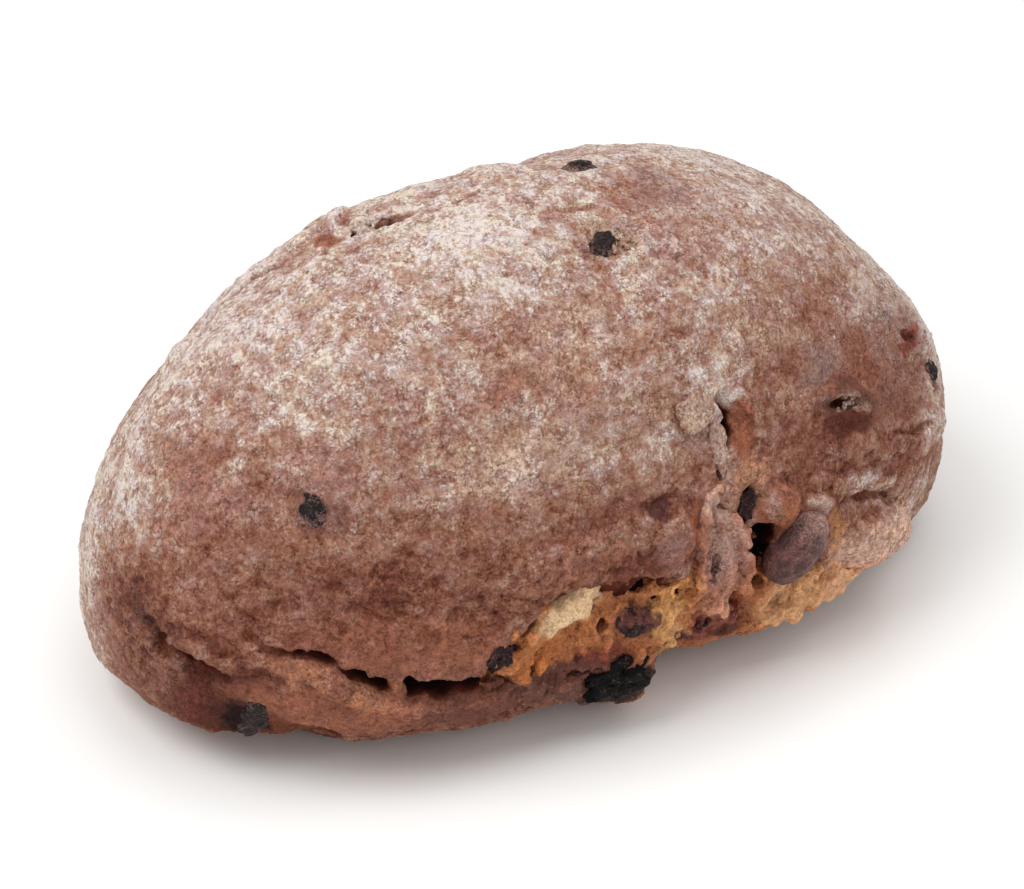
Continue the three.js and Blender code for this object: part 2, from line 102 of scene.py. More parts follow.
# Cracks and creases: route, width, depth and how far the cut leans up under the crust.
CRACKS = {
    "foot crack, thin end": (
        [[-145.5, 13], [-140, 10.8], [-134.5, 10], [-130.5, 8], [-126, 5]], 3.2, 3.6, 0.4
    ),
    "foot crack, wide end": (
        [[-134, 10], [-128, 6], [-119, 2.6], [-112.5, 2.8], [-106, 6.4]], 5.8, 7, 0.5
    ),
    "narrow end groove": ([[-171, 12], [-164, 10], [-159, 8], [-153, 7]], 3.6, 2.8, 0.4),
    "narrow end pit": ([[-158, 7.4], [-152, 6.8], [-145.5, 5]], 6.4, 4.6, 0.7),
    "crease to the foot crack": ([[-147, 15], [-143.5, 13], [-140, 11]], 2.2, 1.6, 0.3),
    "seam, low end": ([[143.5, 43.5], [141.5, 52.5], [143, 61]], 1.8, 1.8, 0),
    "seam, hole": ([[144, 66], [142, 71], [141, 78]], 4.4, 4, 0),
    "seam, high end": ([[140.5, 76], [141, 82], [59, 85.5]], 1.6, 1.2, 0),
    "crown crease": ([[-65, 85], [-45.5, 81], [-36, 78]], 2, 1.8, 0),
    "slope of the split": ([[-74.6, 38], [-73.6, 34], [-74.6, 30]], 7, 2, 0),
    "split in the flank": ([[-75.6, 40], [-74.8, 36.5], [-75.4, 32.8], [-77.5, 29.5]], 4.8, 7, -0.3),
    "split, lower end": ([[-79.2, 29.5], [-79, 27.5], [-79, 25.3]], 1.8, 2.5, 0),
    "under the flake": ([[-82.5, 36.5], [-80.5, 35.5], [-78.2, 36]], 2.6, 3.4, 0),
    "puncture": ([[-61.4, 30.6], [-57, 28.8], [-52.4, 26]], 2.8, 3.2, 0),
    "hollow by the blister": ([[-75, 24.5], [-76, 21], [-77.2, 17]], 5, 3, 0),
    "crease over the lip": ([[-67, 16], [-62, 13.6], [-56, 10], [-50.5, 4.6], [-46, -1]], 2.6, 2.4, 0.4),
    "fold, upper": ([[-53, 20], [-46.5, 16.5], [-41, 14.5]], 3, 2, 0),
    "fold, lower": ([[-59, 17.5], [-54.5, 16.5], [-50, 14.5]], 2.6, 1.7, 0),
    "broad end tear": ([[-38, 31], [-34.5, 27.5], [-33.5, 25.5]], 3, 2.2, 0),
    "broad end notch": ([[-39.5, 16.5], [-37, 18], [-33.5, 17.5]], 2.4, 2.4, 0),
    "torn ledge": ([[-105, 20.5], [-99.5, 23], [-94, 24]], 2.2, 2, 0),
    "left of the shingle": ([[-90.6, 24], [-91.4, 18], [-90.4, 12]], 1.5, 1.6, 0),
    "over the shingle": ([[-90.6, 24.4], [-86.5, 26.4], [-83, 25]], 1.6, 1.4, 0),
    "slot in the tongue": ([[-81, 14.5], [-81.3, 12], [-81.5, 9.5]], 2.4, 3, 0),
    "back crack": ([[128, 8], [112, 4], [98, 5], [86, 3]], 4, 4.6, 0.5),
    "back crease": ([[62, 40], [52, 46], [44, 55]], 2.2, 1.8, 0),
}

# The burst: the upper and lower edges of the opening in the crust, and the depth of its floor.
TORN_TOP = [
    [-112, 8], [-109.5, 13], [-107, 16], [-105, 18], [-101, 18], [-97.5, 16.6], [-94, 15.8], [-90, 14.6],
    [-85, 12], [-83, 17], [-81.5, 23], [-79.5, 24], [-77.5, 20], [-74, 16], [-70, 16], [-66.5, 15],
    [-63, 6],
]
TORN_FOOT = [
    [-112, 2], [-109.5, -5], [-107, -14], [-105, -19], [-101, -20], [-97.5, -24], [-94, -28], [-90, -31],
    [-86, -34], [-83, -35], [-81.5, -36], [-79.5, -36], [-77.5, -37], [-74, -38], [-70, -39], [-63, -39],
    [-55, -36],
]
BURST_DEPTH = 5.4
SQUARED_WALLS = 0.6  # 1 gives the opening a rounded floor, less makes its walls steeper
BLUNT_ENDS = 0.35  # and 1 would give it pointed ends

# Dough that bridges the burst, and finer strands along the tongue: route, width, thickness and sink.
STRANDS = {
    "tongue by the mouth": ([[-79.5, 25], [-80, 18.5], [-80, 12], [-79, 2]], 12, 3.6, 2.6),
    "pulled crumb": ([[-85.5, 12], [-87, 6], [-89, -1]], 5, 3, 3),
    "dark strand": ([[-95, 9.5], [-91.5, 6], [-88, 3]], 5, 3, 3.4),
    "left flute": ([[-81, 24.5], [-82.4, 19], [-83, 13], [-82.8, 5]], 2.2, 2.6, 0.6),
    "middle flute": ([[-79.8, 26], [-80.3, 19], [-79.6, 11], [-80.2, 1.5]], 3.6, 3.8, 1.3),
    "right flute": ([[-79, 23.5], [-78.2, 17], [-77, 11], [-77.6, 4]], 4.0, 3.8, 1.2),
    "thin flute": ([[-81.6, 14], [-81.6, 9], [-81, 4]], 2.4, 3.4, 1.4),
}
# Beads of dough at the foot of the tongue: place and half sizes.
DROPLETS = {
    "droplet": ([-79, 1.5], [2.0, 3.0, 2.2]),
    "droplet, upper": ([-77.2, 6], [1.7, 2.6, 2.0]),
    "droplet, small": ([-80.8, 4], [1.5, 2.2, 1.8]),
}
# A grey ribbon of dough that hangs down beside the split: route, width, thickness, lean, sink and
# raggedness.
RIBBON = ([[-77.4, 38.5], [-78, 33.5], [-78.4, 30], [-78.8, 26]], 3.6, 1.2, 0, 0, 0.2)

# Deep holes inside the burst: place and half sizes across, along and in.
HOLLOWS = {
    "mouth beside the nut": ([-75, 14], [5.2, 3.8, 9]),
    "shade beside the nut": ([-74.5, 9], [2.6, 5, 8]),
    "throat under the mouth": ([-75.8, 8], [2.8, 6, 9]),
    "pore by the cream patch": ([-96.5, 7.5], [1.8, 1.9, 7]),
    "pore under the crust": ([-90.5, 11.5], [2.6, 1.2, 7]),
    "pore under the shingle": ([-88.5, 12.4], [4.4, 0.9, 7]),
    "pore in the gold": ([-88.2, 8.5], [1.4, 1.0, 6]),
    "pore in the gold, far": ([-85.6, 8.8], [1.6, 0.9, 6]),
    "pore below the droplets": ([-75, 4.4], [1.8, 1.6, 7]),
    "slit over the burnt raisin": ([-99, -1.5], [4.6, 0.9, 6]),
}

# Lobes of crust and dough: place, half sizes along turn, along rise and out, sink and spin.
BLISTER = ([-72.3, 18.2], [6.2, 5.4, 5], 1.2, 0)
FLAKE = ([-80, 38], [4.4, 3.7, 1.0], -1.0, 20)
KNOB = ([129, 64], [4.2, 2.4, 2.8], 0.9, 0)
LIP = ([-56.5, 1.6], [15.5, 9.2, 6.2], 3, -24)
SHINGLE = ([-86.6, 18.3], [4.9, 7, 2.8], 0.5, 0)
CREAM_PATCH = ([-101.2, 12], [9.8, 5.0, 4.5], 3.7, 22)
BRIDGE = ([-123, 4.4], [1.7, 3.6, 2.6], 1.6, 20)  # a strand of crust across the foot crack
CAP = ([-66.4, 15.6], [5.0, 2.6, 3.2], 0.4, -30)  # crust that laps over the nut
# Ragged lips round the puncture and along the cracks, where the crust tore: route, width, height, lean
# and sink.
TORN_LIPS = [
    ([[-62.5, 32], [-57.2, 31], [-50.5, 26]], 2.4, 2.2, 0, 0.1),
    ([[-62, 30.6], [-57.6, 27], [-51.6, 24.6]], 2.2, 1.9, 0, 0.1),
    ([[-143, 9.4], [-136, 8], [-130.5, 5.4], [-123.5, 1.2], [-114, 0]], 4.0, 3.2, 0, 0.2),
    ([[-137, 8.6], [-132.5, 6.4], [-127, 3.2]], 2.2, 2.3, 0, 0.2),
    ([[-141.5, 10], [-135.5, 9], [-130.5, 6.4], [-125, 3.2]], 1.6, 3.6, 0, 0.2),
    ([[-122, 1], [-116, 0.3], [-109.5, 1.4]], 1.7, 3.2, 0, 0.2),
    ([[-158, 10.6], [-152.5, 10.2], [-146, 8.4]], 3.0, 2.4, 0, 0.2),
    ([[-107, 19], [-101, 21.2], [-95, 22.6]], 2.6, 1.4, 0, 0.2),
]
# Crags along torn edges: seed, route, how many, between which half sizes and how far they stray.
FRINGES = {
    "lower lip of the foot crack": (
        31,
        [[-141, 9.6], [-134, 7.8], [-130, 5.2], [-126, 2.4], [-119, -0.4], [-112, -0.2], [-107, 2]],
        60, (0.9, 2.2), 0.6
    ),
    "torn edge": (
        32,
        [[-110, 11.5], [-107, 16], [-104, 18.8], [-98, 17.4], [-94, 16.4], [-90, 15.2], [-85, 12.6]],
        60, (0.6, 1.4), 0.7
    ),
    "ledge over the torn edge": (33, [[-107, 19.6], [-99.5, 22.6], [-93, 23.6]], 26, (0.5, 1.2), 0.9),
    "rim of the puncture": (
        34, [[-62.6, 31.6], [-57.4, 30.8], [-51, 26.4], [-57, 26.6]], 26, (0.4, 0.9), 0.4
    ),
    "narrow pit": (35, [[-158.5, 10.4], [-152.5, 10], [-146, 8]], 34, (0.6, 1.6), 0.6),
    "narrow end groove": (36, [[-170, 9.6], [-164, 7.8], [-158, 5.4]], 26, (0.5, 1.4), 0.8),
    "right of the split": (37, [[-72, 38.5], [-71.4, 34.5], [-71.8, 30]], 18, (0.4, 0.9), 0.5),
    "broad end tear": (38, [[-38.5, 28.6], [-35, 25.6], [-31.5, 24.4]], 14, (0.5, 1.0), 0.6),
    "seam": (39, [[141, 64.5], [143, 71], [120, 80]], 18, (0.4, 0.9), 1.0),
    "crown crater, near": (40, [[-84, 72], [-77, 69], [-70, 67.5], [-62, 68]], 16, (0.5, 1.1), 1.0),
    "crown crater, far": (41, [[-62, 74], [-58, 71], [-60, 68]], 16, (0.6, 1.2), 1.4),
    "edge by the nut": (42, [[-66, 15.5], [-63.4, 8], [-62, 1], [-61, -6]], 20, (0.5, 1.1), 0.5),
    "fold by the lip, near": (43, [[-66, 18.5], [-59, 15.5], [-51, 9.5]], 34, (0.8, 2.1), 1.2),
    "fold by the lip, far": (44, [[-62, 21], [-55, 18.5], [-46, 12]], 20, (0.6, 1.5), 1.1),
}

# Fruit, by the name of its node: place, half sizes along turn, along rise and out, sink and spin.
FRUIT = {
    "nut": ([-71, 10], [9.2, 6.1, 5.7], 0, 42),
    "raisin_foot": ([-95, -13], [8.4, 4.6, 4.2], 0.9, 14),
    "raisin_corner": ([-143.5, -7], [3.7, 9.4, 3.3], 2.6, -14),
    "raisin_crack": ([-110.3, 6.8], [3.4, 4.1, 3.4], 2.6, -30),
    "raisin_flank": ([-139.5, 33.5], [3.3, 4.4, 3], 2.1, 20),
    "raisin_crown": ([-70, 72], [4.6, 3.2, 3], 1.8, 20),
    "raisin_crown_far": ([31.5, 76.5], [4.4, 3, 2.8], 1.9, 0),
    "raisin_burst": ([-91.5, 6.5], [5.4, 3, 3], 2.5, -28),
    "raisin_burst_far": ([-81.5, -9.5], [4.8, 2.6, 3], 3.0, 22),
    "raisin_blister": ([-76.2, 20], [2.8, 5.4, 3], 3.2, -16),
    "raisin_broad_end": ([-34.5, 20], [3, 3.2, 2.8], 1.8, 0),
    "raisin_back": ([96, 28], [4.4, 3.6, 3.2], 1.5, 25),
    "raisin_back_low": ([58, 12], [3.6, 4.8, 3.4], 1.6, -30),
    "raisin_far_end": ([12, 30], [4, 3.4, 3], 1.8, 10),
}


def super_radius(a, b, squareness):
    return (np.abs(a) ** squareness + np.abs(b) ** squareness) ** (-1 / squareness)


def heading(places):
    """Unit vectors towards places on the crust."""
    turn, rise = np.radians(np.atleast_2d(np.asarray(places, float))).T
    level = np.cos(rise)
    return np.column_stack([np.cos(turn) * level, np.sin(turn) * level, np.sin(rise)])


def even_form(way):
    """The even form: a dome over a squarer foot, broader towards +X."""
    level = np.hypot(way[:, 0], way[:, 1])
    at_pole = level < 1e-9
    c = np.where(at_pole, 1, way[:, 0] / np.where(at_pole, 1, level))
    s = np.where(at_pole, 0, way[:, 1] / np.where(at_pole, 1, level))
    rising = way[:, 2] > 0
    ring = super_radius(level, way[:, 2], np.where(rising, DOME_SQUARENESS, FOOT_SQUARENESS))
    out = super_radius(c, s, PLAN_SQUARENESS) * ring * level
    x = np.where(c > 0, BROAD_REACH, NARROW_REACH) * c * out
    width = WIDTH * (1 + BROADENING * 2 * x / (BROAD_REACH + NARROW_REACH))
    z = WAIST + np.where(rising, HEIGHT - WAIST, WAIST) * ring * way[:, 2]
    return np.column_stack([x, width / 2 * s * out, z])


def heading_of(points):
    """The way from the loaf's middle to which each point belongs."""
    reach = np.where(points[:, 0] > 0, BROAD_REACH, NARROW_REACH)
    x = points[:, 0] / reach
    width = WIDTH * (1 + BROADENING * 2 * points[:, 0] / (BROAD_REACH + NARROW_REACH))
    y = points[:, 1] / (width / 2)
    z = (points[:, 2] - WAIST) / np.where(points[:, 2] > WAIST, HEIGHT - WAIST, WAIST)
    flat = np.maximum(np.hypot(x, y), 1e-9)
    plan = flat / super_radius(x / flat + 1e-12, y / flat, PLAN_SQUARENESS)
    way = np.column_stack([x / flat * plan, y / flat * plan, z])
    return way / np.linalg.norm(way, axis=1, keepdims=True)


def normals_of(surface, way):
    """Outward normals of a surface given as a function of the way."""
    step = 0.01
    pole = np.where(np.abs(way[:, 2:]) > 0.9, [[1.0, 0, 0]], [[0, 0, 1.0]])
    east = np.cross(pole, way)
    east *= step / np.linalg.norm(east, axis=1, keepdims=True)
    north = np.cross(way, east)

    def across(side):
        ahead, behind = way + side, way - side
        ahead /= np.linalg.norm(ahead, axis=1, keepdims=True)
        behind /= np.linalg.norm(behind, axis=1, keepdims=True)
        return surface(ahead) - surface(behind)

    out = np.cross(across(east), across(north))
    return out / np.linalg.norm(out, axis=1, keepdims=True)


def hill(share):
    """A smooth hill of height 1 at its middle that ends at distance 1."""
    return np.where(share < 1, (1 - np.minimum(share, 1) ** 2) ** 2, 0)


def way_through(route, shares):
    """Places along a smooth curve through the places of a route."""
    places = np.array(route, float)
    last = len(places) - 1
    at = np.clip(shares, 0, 1) * last
    i = np.minimum(at.astype(int), last - 1)
    t = (at - i)[:, None]
    before, start, end, after = (places[np.clip(i + k, 0, last)] for k in (-1, 0, 1, 2))
    leaving, arriving = (end - before) / 2, (after - start) / 2
    cubic = 2 * start - 2 * end + leaving + arriving
    square = -3 * start + 3 * end - 2 * leaving - arriving
    return cubic * t**3 + square * t**2 + leaving * t + start


def line_of(route, steps=24):
    return even_form(heading(way_through(route, np.linspace(0, 1, steps + 1))))


def distance_to_line(points, line):
    """Distance from each point to the nearest stretch of a line of points."""
    start, run = line[:-1], np.diff(line, axis=0)
    nearest = np.full(len(points), np.inf)
    for origin, stretch in zip(start, run):
        share = np.clip((points - origin) @ stretch / max(stretch @ stretch, 1e-9), 0, 1)
        nearest = np.minimum(nearest, np.linalg.norm(points - origin - share[:, None] * stretch, axis=1))
    return nearest


swells = [(even_form(heading(at))[0], reach, height) for at, reach, height in SWELLS.values()]
rolls = [(line_of(route), reach, height) for route, reach, height in ROLLS.values()]


def relief(p):
    """The unevenness of hand-shaped dough, with the swells and rolls."""
    height = 0.8 * np.sin(p[:, 0] / 19 + 1.3) * np.sin(p[:, 1] / 15 + 0.4) * np.cos(p[:, 2] / 17)
    height += 0.5 * np.sin(p[:, 0] / 8.5 + p[:, 2] / 11) * np.sin(p[:, 1] / 9.5 + 2.1)
    for centre, reach, rise in swells:
        height += rise * hill(np.linalg.norm(p - centre, axis=1) / reach)
    for line, reach, rise in rolls:
        height += rise * hill(distance_to_line(p, line) / reach)
    return height


def crust(way):
    p = even_form(way)
    ray = (p - AXIS) / np.linalg.norm(p - AXIS, axis=1, keepdims=True)
    facing = np.sum(ray * normals_of(even_form, way), axis=1)
    return p + ray * (relief(p) / facing)[:, None]


def crust_frames(places):
    """Points on the crust with their outward directions and the ways along turn and along rise."""
    way = heading(places)
    out = normals_of(crust, way)
    along = np.cross([0, 0, 1.0], out)
    along /= np.linalg.norm(along, axis=1, keepdims=True)
    return crust(way), out, along, np.cross(out, along)


def depth_under_crust(points):
    """How far each point lies inside the whole crust, along its ray."""
    surface = crust(heading_of(points))
    return np.linalg.norm(surface - AXIS, axis=1) - np.linalg.norm(points - AXIS, axis=1)


def rough(points, size, octaves=3, shift=0.0):
    """Seeded lumpiness of about that size in millimetres, from about -1 to 1."""
    scaled = points / size + shift
    return 1.6 * np.array([noise.fractal(p, 1.0, 2.0, octaves) for p in scaled.tolist()])


def ridged(points, size, octaves=3, shift=0.0, stretch=(1, 1, 1)):
    """Sharp-crested roughness, from about -0.5 to 0.5."""
    scaled = points / (size * np.array(stretch)) + shift
    crests = [noise.ridged_multi_fractal(p, 1.0, 2.0, octaves, 1.0, 2.0) for p in scaled.tolist()]
    return 0.5 * np.array(crests) - 0.5


def pitted(points, size, shift=0.0):
    """Rounded pits with sharp walls between them, from about -0.5 to 0.5."""
    scaled = points / size + shift
    return np.array([noise.voronoi(p)[0][0] for p in scaled.tolist()]) - 0.5


def layered(points, layers):
    """Roughness in layers, each with its height, size, octaves and shift."""
    return sum(height * rough(points, *layer) for height, *layer in layers.values())


def ragged(points, reach, size):
    """The points pushed about, so that what is worked out from them gets ragged edges."""
    return points + reach * np.column_stack([rough(points, size, 3, shift) for shift in (11.0, 23.0, 37.0)])


# ---- meshes -------------------------------------------------------------------------------------


def mesh_of(form, name):
    mesh = bpy.data.meshes.new(name)
    form.to_mesh(mesh)
    form.free()
    return mesh


def points_of(mesh, what="co"):
    flat = np.empty(len(mesh.vertices) * 3, np.float32)
    mesh.vertices.foreach_get(what, flat)
    return flat.reshape(-1, 3).astype(float)


def moved(mesh, points):
    mesh.vertices.foreach_set("co", points.astype(np.float32).ravel())
    mesh.update()
    return mesh


def ball(name, detail):
    form = bmesh.new()
    bmesh.ops.create_icosphere(form, subdivisions=detail, radius=1)
    return mesh_of(form, name)


def joined(name, meshes):
    form = bmesh.new()
    for mesh in meshes:
        form.from_mesh(mesh)
    return mesh_of(form, name)


def with_modifier(mesh, kind, **settings):
    """The mesh as a modifier leaves it."""
    carrier = bpy.data.objects.new("carrier", mesh)
    bpy.context.scene.collection.objects.link(carrier)
    modifier = carrier.modifiers.new(kind, kind)
    for key, value in settings.items():
        setattr(modifier, key, value)
    seen = carrier.evaluated_get(bpy.context.evaluated_depsgraph_get())
    made = bpy.data.meshes.new_from_object(seen)
    bpy.data.objects.remove(carrier)
    return made


def fused(mesh, voxel):
    """One closed skin round all that the mesh holds."""
    return with_modifier(mesh, "REMESH", mode="VOXEL", voxel_size=voxel, use_smooth_shade=True)


def cut(mesh, cutter):
    tool = bpy.data.objects.new("cutter", cutter)
    bpy.context.scene.collection.objects.link(tool)
    made = with_modifier(mesh, "BOOLEAN", operation="DIFFERENCE", solver="MANIFOLD", object=tool)
    bpy.data.objects.remove(tool)
    return made


def thinned(mesh, triangles):
    """Fewer faces where the surface is plain."""
    mesh.calc_loop_triangles()
    ratio = min(1, triangles / len(mesh.loop_triangles))
    return with_modifier(mesh, "DECIMATE", decimate_type="COLLAPSE", ratio=ratio)


def standing(mesh, rounds):
    """How far each vertex stands proud of what surrounds it, in millimetres."""
    points, out = points_of(mesh), points_of(mesh, "normal")
    ends = np.empty(len(mesh.edges) * 2, np.int32)
    mesh.edges.foreach_get("vertices", ends)
    starts, stops = ends[::2], ends[1::2]
    count = np.bincount(ends, minlength=len(points))
    soft = points.copy()
    for _ in range(rounds):
        for i in range(3):
            total = np.bincount(starts, soft[stops, i], len(points))
            total += np.bincount(stops, soft[starts, i], len(points))
            soft[:, i] = total / count
    return np.sum((points - soft) * out, axis=1)


def evened(values):
    """The values moved and scaled to lie about 0, most of them from -1 to 1."""
    return (values - values.mean()) / (1.5 * values.std())


STRAND_RAGGING = 0.35  # how much the width of a strand, a crack or a torn lip comes and goes
CRACK_RAGGING = 0.6
TORN_RAGGING = 0.9
EDGE_RAGGING = 1.2  # how far the edges of the burst wander, in millimetres


def spindle(route, width, depth, lean=0, sink=0, ragging=STRAND_RAGGING):
    """A sphere whose axis is bent along a route on the crust, with a ragged outline."""
    length = np.sum(np.linalg.norm(np.diff(line_of(route), axis=0), axis=1))
    form = bmesh.new()
    bmesh.ops.create_uvsphere(form, u_segments=14, v_segments=int(4 + length / 1.2), radius=1)
    mesh = mesh_of(form, "spindle")
    unit = points_of(mesh)
    share = np.arccos(np.clip(unit[:, 2], -1, 1)) / np.pi
    point, out, _, _ = crust_frames(way_through(route, share))
    step = 0.01
    ahead, behind = (crust(heading(way_through(route, share + ends))) for ends in (step, -step))
    side = np.cross(out, ahead - behind)
    side /= np.linalg.norm(side, axis=1, keepdims=True)
    across = unit[:, 0] * width / 2 * (1 + ragging * rough(point + 3 * unit, 3, 3))
    inward = -np.minimum(unit[:, 1], 0) * depth * lean
    placed = point + side * (across + inward)[:, None] + out * (unit[:, 1] * depth - sink)[:, None]
    return moved(mesh, placed)


def between(foot, top, depth, sink=0, widen=(0, 0), proud=0):
    """A body that lies on the crust between two edges, ragged along them. It can be widened past its
    lower and upper edges, and stand proud along the lower one."""
    form = bmesh.new()
    bmesh.ops.create_uvsphere(form, u_segments=36, v_segments=150, radius=1)
    mesh = mesh_of(form, "between")
    unit = points_of(mesh)
    share = np.arccos(np.clip(unit[:, 2], -1, 1)) / np.pi
    fill = np.maximum(np.hypot(unit[:, 0], unit[:, 1]), 0.001) ** (BLUNT_ENDS - 1)
    across, tall = unit[:, 0] * fill, unit[:, 1] * fill
    low, high = way_through(foot, share), way_through(top, share)
    point, out, _, up = crust_frames(low + (high - low) * ((across[:, None] + 1) / 2))
    edge = across * (np.where(across < 0, *widen) + EDGE_RAGGING * rough(point, 3, 4))
    lift = np.sign(tall) * np.abs(tall) ** SQUARED_WALLS * depth - sink - np.minimum(across, 0) * proud
    return moved(mesh, point + up * edge[:, None] + out * lift[:, None])


def lump(at, size, sink=0, spin=0, detail=4, shape=None):
    """A rounded lump on the crust with three half sizes, turned about the outward direction."""
    point, out, along, up = (part[0] for part in crust_frames([at]))
    mesh = ball("lump", detail)
    unit = points_of(mesh)
    local = unit * size
    if shape:
        local *= shape(unit)[:, None]
    angle = np.radians(spin)
    x = local[:, 0] * np.cos(angle) - local[:, 1] * np.sin(angle)
    y = local[:, 0] * np.sin(angle) + local[:, 1] * np.cos(angle)
    placed = point + np.outer(x, along) + np.outer(y, up) + np.outer(local[:, 2] - sink, out)
    return moved(mesh, placed)


def craggy(shift, height=0.2, size=0.7):
    return lambda unit: 1 + height * rough(unit, size, 3, shift)


def plate_form(unit):
    """A flat plate with rounded corners, its edge a little broken."""
    squared = np.sum(np.abs(unit) ** 4, axis=1) ** -0.25
    return squared * (1 + 0.12 * rough(unit, 0.5, 3, 12.0))


def fringe(seed, route, count, halves, stray):
    """Small crags strewn along a route, as along the edge of torn crust."""
    draw = random.Random(seed)
    crags = []
    for i in range(count):
        place = way_through(route, np.array([(i + draw.random()) / count]))[0]
        place += [draw.uniform(-stray, stray), draw.uniform(-stray, stray)]
        half = draw.uniform(*halves)
        size = [half * draw.uniform(1, 1.7), half * draw.uniform(0.7, 1.2), half * draw.uniform(0.6, 1.1)]
        sink = draw.uniform(-0.1, 0.5) * half
        crags.append(lump(place, size, sink, draw.uniform(-40, 40), 3, craggy(i * 1.9, 0.35)))
    return crags


def piece_from(mesh, name, material, slot, *nodes):
    """The finished piece: in metres at the part's origin, riding on the loaf's body."""
    moved(mesh, (points_of(mesh) + FORM_TO_PART) * MM)
    mesh.name = name
    mesh.polygons.foreach_set("use_smooth", np.ones(len(mesh.polygons), bool))
    mesh.materials.clear()
    mesh.materials.append(material)
    piece = bpy.data.objects.new(name, mesh)
    bpy.context.scene.collection.objects.link(piece)
    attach(piece, "root")
    if nodes:
        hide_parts(*nodes)
    return piece


# ---- colour and flour ---------------------------------------------------------------------------


def linear(colour):
    """An sRGB hex colour as Blender's linear one."""
    shares = [int(colour[i : i + 2], 16) / 255 for i in (1, 3, 5)]
    return [s / 12.92 if s <= 0.04045 else ((s + 0.055) / 1.055) ** 2.4 for s in shares] + [1]


def marked(mesh, name, values):
    """Stores a value for each vertex, from 0 to 1, for the materials to read."""
    attribute = mesh.attributes.new(name, "FLOAT", "POINT")
    attribute.data.foreach_set("value", np.clip(values, 0, 1).astype(np.float32))


def patch(points, at, reach, spin=0):
    """A soft-edged patch on the crust, 1 at its middle and 0 past its reach along turn and rise."""
    point, out, along, up = (part[0] for part in crust_frames([at]))
    offset = points - point
    angle = np.radians(spin)
    a = offset @ (along * np.cos(angle) + up * np.sin(angle)) / reach[0]
    b = offset @ (up * np.cos(angle) - along * np.sin(angle)) / reach[1]
    c = offset @ out / max(reach)
    return hill(np.sqrt(a * a + b * b + c * c))


def summed(points, table):
    """Where patches overlap, they add up or take away."""
    return sum(amount * patch(points, at, reach, *spin) for at, reach, amount, *spin in table.values())


FIRMNESS = 2.5  # a tint reaches its full strength well before the middle of its patch


def tinted(mesh, points, table, ground=None):
    """Lays patches of colour over each other and stores the colour and how much of it covers."""
    cover = np.zeros(len(points)) if ground is None else np.ones(len(points))
    paint = np.tile(linear(ground or "#000000")[:3], (len(points), 1))
    for at, reach, colour, strength, *spin in table.values():
        share = np.clip(FIRMNESS * strength * patch(points, at, reach, *spin), 0, strength)
        under = cover * (1 - share)
        cover = share + under
        mixed = share[:, None] * np.array(linear(colour)[:3]) + under[:, None] * paint
        paint = mixed / np.maximum(cover, 1e-6)[:, None]
    attribute = mesh.attributes.new("tint", "FLOAT_COLOR", "POINT")
    attribute.data.foreach_set("color", np.column_stack([paint, np.ones(len(points))]).ravel())
    marked(mesh, "tinted", cover)


